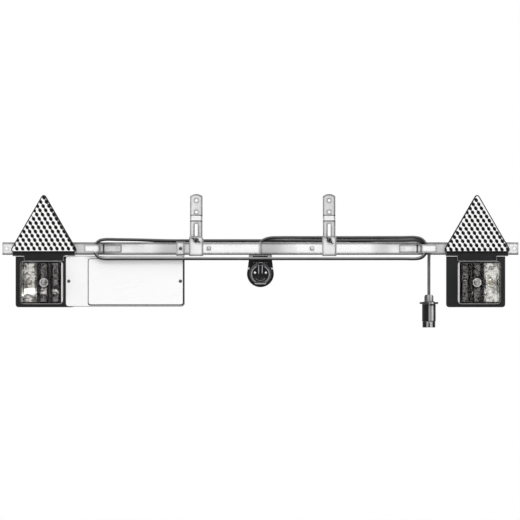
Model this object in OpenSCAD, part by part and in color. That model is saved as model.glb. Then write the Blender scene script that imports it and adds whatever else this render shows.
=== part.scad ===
// Trailer light set: two lamps, two triangular reflectors, a blank number-plate panel and a wound
// lead on a two-piece channel bar, which hangs from two slotted bracket strips.
// Millimetres. X to the right, Y to the back, Z up.
// The origin is the centre of the four bracket holes, on the strips' back face.

/* [Bar] */
// Length of the whole bar
bar_len = 1240; // [1200:10:1400]
// Height of the channel
bar_h = 30; // [28:1:34]
// Depth of the channel
bar_depth = 15; // [14:1:20]
// Sheet thickness of the channel
bar_wall = 1.5; // [1:0.25:2]
// Bar centre line below the bracket holes
bar_drop = 102; // [98:1:110]
// Bar centre to the side of the brackets' centre
bar_shift = -5.5; // [-10:0.5:10]
// Hole near each end of the bar
end_hole_d = 6.5; // [5:0.5:8]
// End hole from the bar's end
end_inset = 10; // [8:1:16]
// Length of the inner joining channel
joiner_len = 300; // [260:10:320]
// Sheet thickness of the joining channel
joiner_wall = 2; // [1.5:0.25:2.5]
// Joiner rivets from the seam
rivet_x = 124; // [90:1:125]

/* [Brackets] */
// Distance between the two bracket strips
bracket_gap = 320; // [300:1:340]
// Width of a strip
strip_w = 30; // [26:1:34]
// Thickness of a strip
strip_t = 3; // [2:0.5:4]
// Diameter of the bracket holes
bracket_hole_d = 6.6; // [5:0.2:9]
// Distance between the two holes of a strip
bracket_pitch = 28; // [24:1:30]
// Upper hole to the top of the strip
bracket_top = 15.5; // [12:0.5:20]
// Start of the crank below the hole centre
crank_z = 23; // [22:1:24]
// How far the crank comes down
crank_drop = 11; // [8:1:12]
// How far the crank comes forward
crank_depth = 14; // [14:1:20]
// Width of the adjusting slot
slot_w = 7; // [7:0.2:9]
// Clamp bolt's travel up the slot
travel_up = 33; // [20:1:34]
// Clamp bolt's travel down the slot
travel_down = 12; // [5:1:14]

/* [Clamps] */
// Width of a clamp plate
clamp_w = 34; // [32:1:44]
// Thickness of a clamp plate
clamp_t = 3; // [2:0.5:4]
// Clamp plate's reach above the bar
clamp_rise = 15; // [13:1:18]
// Diameter of the clamp bolts
clamp_bolt_d = 6; // [5:0.5:6]
// Bolt centre above the bar
clamp_bolt_rise = 5; // [4.5:0.5:6]
// Diameter of a clamp bolt's head
clamp_head_d = 14; // [12:1:16]
// Span of the wing nut
wing_span = 25; // [22:1:32]
// Turn of the left and right wing nuts at rest
wing_turn = [28, 45]; // [0:1:90]

/* [Lead hooks] */
// Hook's outer end from the lamp's centre
hook_to_lamp = 94; // [92:1:98]
// Length of the hook
hook_len = 90; // [84:1:110]
// Length of the part that is riveted to the bar
hook_flat = 47; // [42:1:48]
// Height of the hook strip
hook_h = 20; // [16:1:24]
// Thickness of the hook strip
hook_t = 2; // [1.5:0.25:3]
// Room for the lead behind the raised end
hook_room = 28; // [28:1:34]

/* [Lamps] */
// Lamp centres from the bar's ends
lamp_end = 103; // [95:1:110]
// Width of a lamp housing
lamp_w = 142; // [138:1:150]
// Height of a lamp housing
lamp_h = 122; // [122:1:130]
// Gap between the bar and the housing
lamp_gap = 4; // [3:0.5:8]
// Depth of the housing's tray
lamp_tray = 6; // [5:0.5:6]
// Wall of the housing
lamp_wall = 2; // [1.5:0.25:2.5]
// Corner radius of the housing
lamp_r = 7; // [4:1:10]
// Size of the square lens
lens_size = 101; // [96:1:102]
// Depth of the lens
lens_depth = 28; // [24:1:36]
// Wall of the lens
lens_wall = 2.2; // [1.5:0.1:2.6]
// Corner radius of the lens
lens_r = 8; // [5:1:10]
// Lens edge from the housing's outer side
lens_side = 12; // [10:1:14]
// Lens edge from the housing's bottom
lens_bottom = 9; // [8:1:10]
// Width of the outer, amber chamber
amber_w = 41; // [36:1:44]
// Width of the middle, red chamber
middle_w = 30; // [26:1:32]
// Thickness of the steel strap behind a lamp
strap_t = 2; // [1.5:0.5:3]
// Width of the steel strap
strap_w = 60; // [50:1:62]
// Steel strap's centre from the lens's centre, inwards
strap_in = 8.5; // [7:0.5:10]

/* [Triangles] */
// Triangle centres from the bar's ends
triangle_end = 100; // [95:1:105]
// Side of the triangle before its corners are rounded
triangle_side = 165; // [150:1:166]
// Corner radius of the triangle
triangle_r = 6; // [4:0.5:9]
// Depth of the black carrier
carrier_depth = 13; // [12:1:16]
// Depth of the reflector on it
reflector_depth = 7; // [5:1:9]
// Lower edge of the reflector below the bar centre
triangle_low = 8.5; // [7.5:0.5:12]
// Width of the carrier's tab over the lamp
tab_w = 95; // [80:1:98]

/* [Number plate] */
// Width of the panel
panel_w = 286; // [260:1:290]
// Height of the panel
panel_h = 122; // [118:1:126]
// Thickness of the panel
panel_t = 2; // [1.5:0.25:2.5]
// Width of the raised blank field
field_w = 231; // [210:1:236]
// Height of the raised blank field
field_h = 113; // [108:1:114]
// How far the field stands proud
field_rise = 1.5; // [1:0.25:1.5]
// Panel's left edge right of the left lamp's centre
panel_lap = 49; // [46:1:52]
// Width of the strip that hangs the panel
hanger_w = 20; // [16:1:22]
// Least distance from that strip to the clamp plate
hanger_gap = 8; // [4:1:10]

/* [Socket] */
// Width of the socket
socket_w = 64.5; // [62:0.5:70]
// Socket centre below the bar's lower edge
socket_drop = 45.5; // [44:0.5:50]
// Outer diameter of the socket's barrel
barrel_d = 50; // [46:1:52]
// Bore of the socket's mouth
mouth_d = 42; // [38:0.5:44]
// Thickness of the lid
lid_t = 3.5; // [3:0.5:4]
// Diameter of the lid
lid_d = 52; // [50:1:54]
// How far the lid opens
lid_open = 90; // [60:1:90]

/* [Lead] */
// Diameter of the lead
lead_d = 7.5; // [7:0.1:7.5]
// Diameter of the plug's body
plug_d = 33; // [30:1:36]
// Width of the plug's thin flange
plug_flange_d = 45; // [40:1:48]

/* [Hidden] */
$fn = 48;
// Clearance between fixed pieces that fit into each other
fit = 0.1;
// Running clearance of a pin in its bore, on the diameter
run = 0.1;
// Gap between pieces that move past each other
gap = 0.3;

// Depths along Y, from the mount plane at 0 towards the viewer
strip_low_front = -crank_depth - strip_t;
bar_back = strip_low_front - gap;
bar_front = bar_back - bar_depth;
strap_front = bar_front - strap_t;
lamp_back = strap_front;
tray_front = lamp_back - lamp_tray;
rim_h = 5;
gasket_t = 1;
lens_back = tray_front - rim_h - gasket_t;
lens_front = lens_back - lens_depth;
carrier_front = bar_front - carrier_depth;
panel_back = tray_front;
panel_front = panel_back - panel_t;

// Heights along Z
bar_z = -bar_drop;
bar_top = bar_z + bar_h / 2;
bar_bottom = bar_z - bar_h / 2;
clamp_bolt_z = bar_top + clamp_bolt_rise;
lamp_top = bar_bottom - lamp_gap;
lamp_z = lamp_top - lamp_h / 2;
lens_z = lamp_top - lamp_h + lens_bottom + lens_size / 2;
panel_top = lamp_top + 1.5;
panel_z = panel_top - panel_h / 2;
strip_top = bracket_pitch / 2 + bracket_top;
socket_z = bar_bottom - socket_drop;

// Places along X
upright_x = bracket_gap / 2;
lamp_x = bar_len / 2 - lamp_end;
triangle_x = bar_len / 2 - triangle_end;
hook_out = lamp_x - hook_to_lamp;
hook_in = hook_out - hook_len;
hook_bend = hook_in + hook_flat;
lamp_left = bar_shift - lamp_x;
panel_x = lamp_left + panel_lap + panel_w / 2;
panel_right = panel_x + panel_w / 2;
// Lens centre from the lamp's centre, towards the bar's end
lens_out = lamp_w / 2 - lens_side - lens_size / 2;
// Centres of the strap, from the lamp's centre, and of the panel's hanger, which stands at the
// panel's edge, or beside the clamp where the panel reaches past it
strap_mid = lens_out - strap_in;
hanger_x = min(panel_right - hanger_w / 2, -upright_x - clamp_w / 2 - hanger_gap - hanger_w / 2);

// An outline in X and Z, from the plane Y = 0 towards the viewer
module sheet(t) rotate([90, 0, 0]) linear_extrude(t) children();

// An outline in Y and Z, centred on X = 0
module profile(w) translate([-w / 2, 0, 0]) rotate([90, 0, 90]) linear_extrude(w) children();

// A round bar along Y from the plane Y = 0 towards the viewer
module rod(d, l) rotate([90, 0, 0]) cylinder(h = l, d = d);

// A round bar along X, centred on X = 0
module cross_rod(d, l) rotate([0, 90, 0]) cylinder(h = l, d = d, center = true);

// A hexagon along Y
module hex_head(af, l) rotate([90, 0, 0]) cylinder(h = l, d = af / cos(30), $fn = 6);

// A low domed head with its flat at Y = 0
module dome_head(d, h) {
    ball_r = (d * d / 4 + h * h) / (2 * h);
    rotate([90, 0, 0])
        intersection() {
            cylinder(h = h, d = d);
            translate([0, 0, h - ball_r]) sphere(ball_r);
        }
}

module round_rect(w, h, r) {
    square([w - 2 * r, h], center = true);
    square([w, h - 2 * r], center = true);
    for (sx = [-1, 1], sy = [-1, 1])
        translate([sx * (w / 2 - r), sy * (h / 2 - r)]) circle(r);
}

// Both sides of a shape made for the right-hand side; s is -1 for the left
module side(s) if (s < 0) mirror([1, 0, 0]) children(); else children();

module at_lamp(s) translate([bar_shift, 0, 0]) side(s) translate([lamp_x, 0, 0]) children();

module at_triangle(s) translate([bar_shift, 0, 0]) side(s) translate([triangle_x, 0, 0]) children();

// A tube swept along a route, with a ring of flat sides at each point
function unit(v) = v / norm(v);
function heading(route, i) =
    i == 0 ? unit(route[1] - route[0])
    : i == len(route) - 1 ? unit(route[i] - route[i - 1])
    : unit(unit(route[i + 1] - route[i]) + unit(route[i] - route[i - 1]));
// Sideways direction of each ring, carried along the route without twist
function carried(route, i) =
    i == 0 ? unit(cross(heading(route, 0), abs(heading(route, 0)[2]) > 0.9 ? [0, 1, 0] : [0, 0, 1]))
    : let (before = carried(route, i - 1), along = heading(route, i))
        unit(before - (before * along) * along);
module swept(route, d, sides = 8) {
    steps = len(route);
    rings = [for (i = [0:steps - 1])
        let (across = carried(route, i), up = cross(heading(route, i), across))
            for (k = [0:sides - 1])
                route[i] + d / 2 * (cos(360 * k / sides) * across + sin(360 * k / sides) * up)];
    faces = concat(
        [[for (k = [0:sides - 1]) sides - 1 - k]],
        [for (i = [0:steps - 2], k = [0:sides - 1])
            [i * sides + k, i * sides + (k + 1) % sides, (i + 1) * sides + (k + 1) % sides]],
        [for (i = [0:steps - 2], k = [0:sides - 1])
            [i * sides + k, (i + 1) * sides + (k + 1) % sides, (i + 1) * sides + k]],
        [[for (k = [0:sides - 1]) (steps - 1) * sides + k]]
    );
    polyhedron(points = rings, faces = faces, convexity = 10);
}

// Bracket strip: drilled top, crank, slotted lower part behind the bar
module upright(x) {
    lean = strip_t * tan(atan(crank_depth / crank_drop) / 2);
    low_z = -crank_z - crank_drop;
    // Ends of the slot's straight sides, with the bolt's neck at its highest and lowest
    high = clamp_bolt_z + travel_up + neck_w / 2;
    low = clamp_bolt_z - travel_down - neck_w / 2;
    arch_r = strip_w * 0.8;
    color("silver") translate([x, 0, 0])
        difference() {
            intersection() {
                profile(strip_w) polygon([
                    [-strip_t, strip_top], [-strip_t, -crank_z], [strip_low_front, low_z],
                    [strip_low_front, bar_bottom], [-crank_depth, bar_bottom],
                    [-crank_depth, low_z - lean], [0, -crank_z - lean], [0, strip_top]
                ]);
                translate([0, 1, 0]) sheet(crank_depth + strip_t + 2) {
                    intersection() {
                        translate([0, strip_top - arch_r]) circle(arch_r);
                        translate([-strip_w / 2, strip_top - arch_r]) square([strip_w, arch_r]);
                    }
                    translate([-strip_w / 2, bar_bottom - 1])
                        square([strip_w, strip_top - arch_r - bar_bottom + 1]);
                }
            }
            for (z = [-1, 1])
                translate([0, 1, z * bracket_pitch / 2]) rod(bracket_hole_d, strip_t + 2);
            translate([0, 1 - crank_depth, 0]) sheet(strip_t + 2) {
                for (z = [low, high]) translate([0, z]) circle(d = slot_w);
                translate([-slot_w / 2, low]) square([slot_w, high - low]);
            }
        }
}
module upright_left() upright(-upright_x);
module upright_right() upright(upright_x);

// A channel, open to the back, with its web's front at Y = 0
module channel(l, h, depth, wall)
    difference() {
        translate([0, 0, -h / 2]) cube([l, depth, h]);
        translate([-1, wall, wall - h / 2]) cube([l + 2, depth, h - 2 * wall]);
    }

rivet_d = 6;
hook_rivet_d = 4;
strap_bolt_d = 6;
carrier_screw_d = 4;
// Rivets, bolts and screws through the bar's right half, from the bar centre
hook_rivet_x = [hook_in + 10, hook_bend - 12];
strap_bolt_pitch = 30;
strap_bolt_x = [lamp_x + strap_mid - strap_bolt_pitch / 2, lamp_x + strap_mid + strap_bolt_pitch / 2];
carrier_screw_pitch = 90;
carrier_screw_x = [triangle_x - carrier_screw_pitch / 2, triangle_x + carrier_screw_pitch / 2];

// Right half of the bar, from the seam
module bar_half()
    difference() {
        translate([0, bar_front, bar_z]) channel(bar_len / 2, bar_h, bar_depth, bar_wall);
        translate([bar_len / 2 - end_inset, bar_front + bar_wall + 1, bar_z])
            rod(end_hole_d, bar_wall + 2);
        translate([rivet_x, bar_front + bar_wall + 1, bar_z]) rod(rivet_d, bar_wall + 2);
        for (x = hook_rivet_x)
            translate([x, bar_front + bar_wall + 1, bar_z]) rod(hook_rivet_d, bar_wall + 2);
        for (x = strap_bolt_x)
            translate([x, bar_front + bar_wall + 1, bar_z]) rod(strap_bolt_d + fit, bar_wall + 2);
        for (x = carrier_screw_x)
            translate([x, bar_front + bar_wall + 1, bar_z]) rod(carrier_screw_d + fit, bar_wall + 2);
        for (x = socket_bolt_x)
            translate([x, socket_bolt_y, bar_bottom - 1]) cylinder(h = bar_wall + 2, d = socket_bolt_d + fit);
    }
module bar_left() {
    color("silver") difference() {
        translate([bar_shift, 0, 0]) side(-1) bar_half();
        translate([hanger_x, bar_front + bar_wall + 1, bar_z]) rod(hanger_screw_d + fit, bar_wall + 2);
    }
}
module bar_right() color("silver") translate([bar_shift, 0, 0]) bar_half();

joiner_front = bar_front + bar_wall;
joiner_back = joiner_front + joiner_wall;
module bar_joiner() {
    inner_h = bar_h - 2 * bar_wall - 2 * fit;
    color("lightgray") difference() {
        translate([bar_shift - joiner_len / 2, joiner_front, bar_z])
            channel(joiner_len, inner_h, bar_depth - bar_wall - 1, joiner_wall);
        for (sx = [-1, 1])
            translate([bar_shift + sx * rivet_x, joiner_back + 1, bar_z]) rod(rivet_d, joiner_wall + 2);
        for (sx = [-1, 1], x = socket_bolt_x)
            translate([bar_shift + sx * x, socket_bolt_y, bar_bottom])
                cylinder(h = bar_wall + joiner_wall + 3, d = socket_bolt_d + fit);
    }
}

// A rivet along Y: domed head at the front, shank through the grip, flat tail behind
module rivet(d, grip) {
    head_d = d * 1.7;
    dome_head(head_d, d * 0.45);
    translate([0, grip, 0]) rod(d, grip);
    translate([0, grip + d * 0.4, 0]) rod(d * 1.5, d * 0.4);
}
module joiner_rivets() {
    color("gainsboro") for (sx = [-1, 1])
        translate([bar_shift + sx * rivet_x, bar_front, bar_z]) rivet(rivet_d, bar_wall + joiner_wall);
}

// Clamp plate: chamfered top, flat on the bar's front, lip hooked back under the bar
clamp_front = bar_front - clamp_t;
lip_reach = 12;
module clamp_plate(x) {
    chamfer = 4;
    color("gainsboro") translate([x, 0, 0])
        difference() {
            union() {
                translate([0, bar_front, 0]) sheet(clamp_t) polygon([
                    [-clamp_w / 2, bar_bottom - clamp_t], [clamp_w / 2, bar_bottom - clamp_t],
                    [clamp_w / 2, bar_top + clamp_rise - chamfer],
                    [clamp_w / 2 - chamfer, bar_top + clamp_rise],
                    [chamfer - clamp_w / 2, bar_top + clamp_rise],
                    [-clamp_w / 2, bar_top + clamp_rise - chamfer]
                ]);
                translate([-clamp_w / 2, clamp_front, bar_bottom - clamp_t])
                    cube([clamp_w, clamp_t + lip_reach, clamp_t]);
            }
            translate([0, bar_front + 1, clamp_bolt_z]) rod(clamp_bolt_d + run, clamp_t + 2);
        }
}
module clamp_plate_left() clamp_plate(-upright_x);
module clamp_plate_right() clamp_plate(upright_x);

// Clamp bolt: low head behind the strip, square neck in the slot, shank to the front
clamp_head_h = 3.5;
neck_w = slot_w - 0.6;
washer_t = 1.2;
nut_h = 6;
nut_back = clamp_front - washer_t;
module clamp_bolts() {
    neck_l = strip_t - 0.5;
    bolt_end = nut_back - gap - nut_h - 2;
    color("silver") for (x = [-upright_x, upright_x])
        translate([x, -crank_depth + gap, clamp_bolt_z]) {
            translate([0, clamp_head_h, 0]) rod(clamp_head_d, clamp_head_h);
            translate([-neck_w / 2, -neck_l - gap, -neck_w / 2]) cube([neck_w, neck_l + gap, neck_w]);
            rod(clamp_bolt_d, -crank_depth + gap - bolt_end);
        }
}
module clamp_washers() {
    color("gainsboro") for (x = [-upright_x, upright_x])
        translate([x, clamp_front, clamp_bolt_z]) difference() {
            rod(clamp_bolt_d * 2.1, washer_t);
            translate([0, 1, 0]) rod(clamp_bolt_d + run, washer_t + 2);
        }
}

// Wing nut: tapered hub and two wings, along Y
module wing_nut(x, turn) {
    hub_d = clamp_bolt_d * 2.2;
    wing_t = 4.2;
    wing_h = 11;
    color("whitesmoke") translate([x, nut_back - gap, clamp_bolt_z]) rotate([0, turn, 0])
        difference() {
            union() {
                rotate([90, 0, 0]) cylinder(h = nut_h, d1 = hub_d, d2 = hub_d - 2);
                for (s = [-1, 1]) side(s) translate([0, 0, wing_t / 2]) rotate([180, 0, 0])
                    linear_extrude(wing_t) polygon([
                        [clamp_bolt_d / 2 + 1, 0.5], [hub_d / 2 + 1, 0.5],
                        [wing_span / 2 - 1, nut_h - 2], [wing_span / 2, wing_h - 3],
                        [wing_span / 2 - 1.5, wing_h], [wing_span / 2 - 4, wing_h],
                        [clamp_bolt_d / 2 + 1, nut_h - 0.5]
                    ]);
            }
            translate([0, 1, 0]) rod(clamp_bolt_d + run, nut_h + 2);
        }
}
module wing_nut_left() wing_nut(-upright_x, wing_turn[0]);
module wing_nut_right() wing_nut(upright_x, wing_turn[1]);

// Lead hook: strip on the bar, joggled out to a raised end that the lead passes behind.
// Its rivets are set into its back, so its front is plain.
hook_rise = 6;
hook_skin = hook_t / 2;
module hook_half() {
    back = bar_front;
    raised = bar_front - hook_room;
    difference() {
        translate([0, 0, bar_z - hook_h / 2]) linear_extrude(hook_h) polygon([
            [hook_in, back], [hook_bend, back], [hook_bend + hook_rise, raised], [hook_out, raised],
            [hook_out, raised - hook_t], [hook_bend + hook_rise - hook_t, raised - hook_t],
            [hook_bend - hook_t, back - hook_t], [hook_in, back - hook_t]
        ]);
        for (x = hook_rivet_x) translate([x, back + 1, bar_z]) rod(hook_rivet_d, 1 + hook_t - hook_skin);
    }
}
module lead_hook_left() color("gainsboro") translate([bar_shift, 0, 0]) side(-1) hook_half();
module lead_hook_right() color("gainsboro") translate([bar_shift, 0, 0]) hook_half();
module hook_rivets() {
    head_h = 1.6;
    color("silver") for (sx = [-1, 1], x = hook_rivet_x)
        translate([bar_shift + sx * x, bar_front + bar_wall, bar_z]) {
            rod(hook_rivet_d, bar_wall + hook_t - hook_skin);
            translate([0, head_h, 0]) rod(hook_rivet_d * 1.5, head_h);
        }
}

// Steel strap that hangs a lamp from the bar's front; x is counted from the lamp's centre
lamp_bolt_d = 5;
lamp_bolt_pitch = 40;
lamp_bolt_x = [strap_mid - lamp_bolt_pitch / 2, strap_mid + lamp_bolt_pitch / 2];
lamp_bolt_z = lamp_top - 30;
strap_low = lamp_bolt_z - 12;
strap_high = bar_top - 4;
module lamp_bracket(s) {
    color("silver") at_lamp(s) difference() {
        translate([strap_mid - strap_w / 2, strap_front, strap_low])
            cube([strap_w, strap_t, strap_high - strap_low]);
        for (x = strap_bolt_x)
            translate([x - lamp_x, bar_front + 1, bar_z]) rod(strap_bolt_d + fit, strap_t + 2);
        for (x = lamp_bolt_x)
            translate([x, bar_front + 1, lamp_bolt_z]) rod(lamp_bolt_d + fit, strap_t + 2);
    }
}
module lamp_bracket_left() lamp_bracket(-1);
module lamp_bracket_right() lamp_bracket(1);

// A nut on a bolt along Y, with its front face at Y = 0
module nut(d, h)
    translate([0, h, 0]) difference() {
        hex_head(d * 1.6, h);
        translate([0, 1, 0]) rod(d + fit, h + 2);
    }
module bracket_bolts() {
    head_h = 4;
    nut_t = 5;
    color("gainsboro") for (s = [-1, 1], x = strap_bolt_x)
        translate([bar_shift + s * x, 0, bar_z]) {
            translate([0, strap_front, 0]) hex_head(strap_bolt_d * 1.6, head_h);
            translate([0, joiner_front + nut_t + 1, 0]) rod(strap_bolt_d, strap_t + bar_wall + nut_t + 1);
            translate([0, joiner_front, 0]) nut(strap_bolt_d, nut_t);
        }
}
lamp_boss_h = 5;
module lamp_bolts() {
    head_h = 3.5;
    color("gainsboro") for (s = [-1, 1], x = lamp_bolt_x)
        at_lamp(s) translate([x, bar_front, lamp_bolt_z]) {
            translate([0, head_h, 0]) hex_head(lamp_bolt_d * 1.6, head_h);
            rod(lamp_bolt_d, strap_t + lamp_wall + lamp_boss_h - 1);
        }
}

// Black housing: flat tray, raised rim round the lens, open to the front
rim_lap = 1;
cavity = lens_size - 6;
cable_d = 5;
cable_hole_z = lamp_z - 20;
lens_screw_d = 3.5;
lens_screw_post = 8;
// Lens screws, from the lens's centre
lens_screw_at = [[-cavity / 2 + 5, cavity / 2 - 5], [cavity / 2 - 5, 5 - cavity / 2]];
module at_lens(s) at_lamp(s) translate([lens_out, 0, lens_z]) children();
module lamp_housing(s) {
    plate_screw_z = panel_z;
    color("black") difference() {
        union() {
            difference() {
                union() {
                    at_lamp(s) translate([0, lamp_back, lamp_z]) sheet(lamp_tray) {
                        round_rect(lamp_w, lamp_h, lamp_r);
                        translate([-lamp_w / 2, 0]) square([lamp_w, lamp_h / 2]);
                    }
                    at_lens(s) translate([0, tray_front, 0]) sheet(rim_h)
                        round_rect(lens_size + 2 * rim_lap, lens_size + 2 * rim_lap, lens_r + rim_lap);
                }
                at_lens(s) translate([0, lamp_back - lamp_wall, 0]) sheet(lamp_tray + rim_h)
                    round_rect(cavity, cavity, lens_r - 3);
            }
            for (x = lamp_bolt_x)
                at_lamp(s) translate([x, lamp_back - lamp_wall, lamp_bolt_z])
                    rod(lamp_bolt_d * 2, lamp_boss_h);
            for (p = lens_screw_at)
                at_lens(s) translate([p[0], lamp_back - lamp_wall, p[1]])
                    rod(lens_screw_post, lamp_tray + rim_h - lamp_wall);
        }
        for (x = lamp_bolt_x)
            at_lamp(s) translate([x, lamp_back + 1, lamp_bolt_z])
                rod(lamp_bolt_d + fit, lamp_wall + lamp_boss_h + 1 - 0.5);
        for (p = lens_screw_at)
            at_lens(s) translate([p[0], lamp_back + 1, p[1]])
                rod(lens_screw_d + fit, lamp_tray + rim_h + 2);
        at_lamp(s) translate([strap_mid, lamp_back + 1, cable_hole_z]) rod(cable_d + fit, lamp_wall + 2);
        if (s < 0) translate([plate_screw_left, lamp_back + 1, plate_screw_z])
            rod(plate_screw_d + fit, lamp_tray + 2);
    }
}
module lamp_housing_left() lamp_housing(-1);
module lamp_housing_right() lamp_housing(1);

// Bright inner reflector: back plate, two dividing walls and three bulb holders
holder_d = 16;
holder_h = 5;
reflector_t = 1.5;
reflector_back = lamp_back - lamp_wall - lamp_boss_h;
reflector_front = reflector_back - reflector_t;
reflector_size = cavity - 1;
// Chamber walls and centres, from the lens's centre, outwards
amber_in = lens_size / 2 - amber_w;
middle_in = amber_in - middle_w;
wall_x = [middle_in, amber_in];
bulb_x = [
    (middle_in - lens_size / 2 + lens_wall) / 2, (middle_in + amber_in) / 2,
    (amber_in + lens_size / 2 - lens_wall) / 2
];
divider_t = 2;
divider_inset = 8;
divider_front = lens_front + lens_wall + 4;
module lamp_reflector(s) {
    color("gainsboro") at_lens(s) difference() {
        union() {
            translate([0, reflector_back, 0]) sheet(reflector_t)
                round_rect(reflector_size, reflector_size, lens_r - 3.5);
            for (x = wall_x)
                translate([x - divider_t / 2, divider_front, divider_inset - reflector_size / 2])
                    cube([divider_t, reflector_front - divider_front + reflector_t / 2,
                        reflector_size - 2 * divider_inset]);
            for (x = bulb_x) translate([x, reflector_back, 0]) rod(holder_d, reflector_t + holder_h);
        }
        for (x = bulb_x) translate([x, reflector_back + 1, 0]) rod(bulb_cap_d + fit, reflector_t + holder_h + 2);
        for (p = lens_screw_at)
            translate([p[0], reflector_back + 1, p[1]]) rod(lens_screw_post + 2 * fit, reflector_t + 2);
    }
}
module lamp_reflector_left() lamp_reflector(-1);
module lamp_reflector_right() lamp_reflector(1);

// Bulb: straight metal cap and a round glass
bulb_cap_d = 11;
bulb_cap_h = 9;
bulb_d = 14;
module lamp_bulbs(s) {
    color("whitesmoke") at_lens(s) for (x = bulb_x)
        translate([x, reflector_back, 0]) {
            rod(bulb_cap_d, bulb_cap_h);
            translate([0, -bulb_cap_h - bulb_d / 2 + 2, 0]) sphere(d = bulb_d);
        }
}
module lamp_bulbs_left() lamp_bulbs(-1);
module lamp_bulbs_right() lamp_bulbs(1);

module lens_gasket(s) {
    color("dimgray") at_lens(s) translate([0, tray_front - rim_h, 0]) difference() {
        sheet(gasket_t) round_rect(lens_size, lens_size, lens_r);
        translate([0, 1, 0]) sheet(gasket_t + 2) round_rect(cavity, cavity, lens_r - 3);
    }
}
module lens_gasket_left() lens_gasket(-1);
module lens_gasket_right() lens_gasket(1);

// Lens: square shell, open at the back, with a groove between its chambers
groove_w = 2;
groove_depth = 1;
module lens_shell() {
    inner = lens_size - 2 * lens_wall;
    difference() {
        translate([0, lens_back, 0]) sheet(lens_depth) round_rect(lens_size, lens_size, lens_r);
        translate([0, lens_back + 1, 0]) sheet(lens_depth + 1 - lens_wall)
            round_rect(inner, inner, lens_r - lens_wall);
        for (x = wall_x)
            translate([x - groove_w / 2, lens_front - 1, -lens_size / 2 + lens_r])
                cube([groove_w, groove_depth + 1, lens_size - 2 * lens_r]);
    }
}
// Part of the lens between two places across it, with its screw post
module lens_part(low, high, post) {
    post_l = lens_depth - lens_wall / 2;
    difference() {
        union() {
            intersection() {
                lens_shell();
                translate([low, lens_front - 1, -lens_size]) cube([high - low, lens_depth + 2, 2 * lens_size]);
            }
            translate([post[0], lens_back, post[1]]) rod(lens_screw_post, post_l);
        }
        translate([post[0], lens_back + 1, post[1]]) rod(lens_screw_d + fit, lens_screw_bite + 1.5);
    }
}
lens_screw_bite = 8;
// Clear window in the side of the left lens that faces the number plate
window_h = 70;
window_depth = 15;
module window_block()
    translate([-lens_size / 2 - 1, lens_back - 5 - window_depth, -window_h / 2])
        cube([lens_wall + 1, window_depth, window_h]);
module lens_red(s) {
    color("firebrick") at_lens(s) difference() {
        lens_part(-lens_size / 2 - 1, amber_in, lens_screw_at[0]);
        if (s < 0) window_block();
    }
}
module lens_red_left() lens_red(-1);
module lens_red_right() lens_red(1);
module lens_amber(s) color("orange") at_lens(s) lens_part(amber_in, lens_size / 2 + 1, lens_screw_at[1]);
module lens_amber_left() lens_amber(-1);
module lens_amber_right() lens_amber(1);
module plate_window_left() {
    color("white") at_lens(-1) intersection() {
        window_block();
        translate([-lens_size / 2, lens_front, -lens_size / 2]) cube([lens_size, lens_depth, lens_size]);
    }
}
module lens_screws() {
    head_d = 6.5;
    head_h = 2;
    color("silver") for (s = [-1, 1], p = lens_screw_at)
        at_lens(s) translate([p[0], lamp_back, p[1]]) {
            translate([0, head_h, 0]) rod(head_d, head_h);
            rod(lens_screw_d, lamp_tray + rim_h + gasket_t + lens_screw_bite);
        }
}

// Points of a triangle on its base, with round corners
function triangle_points(side, r) = let (
        half = side / 2 - r * sqrt(3),
        centres = [[half, r], [0, side * sqrt(3) / 2 - 2 * r], [-half, r]]
    ) [for (k = [0:2], a = [0:15:120]) centres[k] + r * [cos(a - 90 + 120 * k), sin(a - 90 + 120 * k)]];

// Black carrier: hollow triangle on the bar, with a band and a tab over the top of the lamp
triangle_z = bar_z - triangle_low;
carrier_wall = 2;
carrier_boss_d = 9;
band_gap = 0.7;
band_h = triangle_z - lamp_top - band_gap;
band_w = 150;
module carrier_outline() {
    tab_low = lens_z + lens_size / 2 + rim_lap + 0.5;
    translate([0, triangle_z]) polygon(triangle_points(triangle_side, triangle_r));
    translate([-band_w / 2, triangle_z - band_h]) square([band_w, band_h + triangle_r]);
    translate([-tab_w / 2, tab_low]) square([tab_w, triangle_z - tab_low]);
}
module triangle_carrier(s) {
    pocket_side = triangle_side - 2 * sqrt(3) * carrier_wall;
    color("black") at_triangle(s) difference() {
        union() {
            difference() {
                translate([0, bar_front, 0]) sheet(carrier_depth) carrier_outline();
                translate([0, bar_front + 1, triangle_z + carrier_wall])
                    sheet(carrier_depth - carrier_wall + 1)
                        polygon(triangle_points(pocket_side, triangle_r - carrier_wall));
                translate([strap_mid - strap_w / 2 - 1 - triangle_x + lamp_x, strap_front - gap, lamp_z])
                    cube([strap_w + 2, strap_t + gap + 1, bar_top - lamp_z]);
                translate([-lamp_w / 2 - 10, tray_front - gap, lamp_top - lamp_h])
                    cube([lamp_w + 20, lamp_tray + strap_t + gap + 1, lamp_h + band_gap - 0.1]);
                // The left band stands clear of the panel's upper edge
                if (s < 0) translate([-band_w / 2 - 1, carrier_front - 1, lamp_top])
                    cube([band_w / 2 + 1 + gap - panel_lap - triangle_x + lamp_x, carrier_depth + 2,
                        panel_top + gap - lamp_top]);
            }
            for (x = carrier_screw_x)
                translate([x - triangle_x, bar_front, bar_z]) rod(carrier_boss_d, carrier_depth - carrier_wall / 2);
        }
        for (x = carrier_screw_x)
            translate([x - triangle_x, bar_front + 1, bar_z]) rod(carrier_screw_d + fit, carrier_depth - carrier_wall);
    }
}
module triangle_carrier_left() triangle_carrier(-1);
module triangle_carrier_right() triangle_carrier(1);
module carrier_screws() {
    head_h = 2.5;
    color("silver") for (s = [-1, 1], x = carrier_screw_x)
        translate([bar_shift + s * x, joiner_front, bar_z]) {
            translate([0, head_h, 0]) rod(carrier_screw_d * 1.9, head_h);
            rod(carrier_screw_d, bar_wall + carrier_depth - carrier_wall - 2);
        }
}

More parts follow.
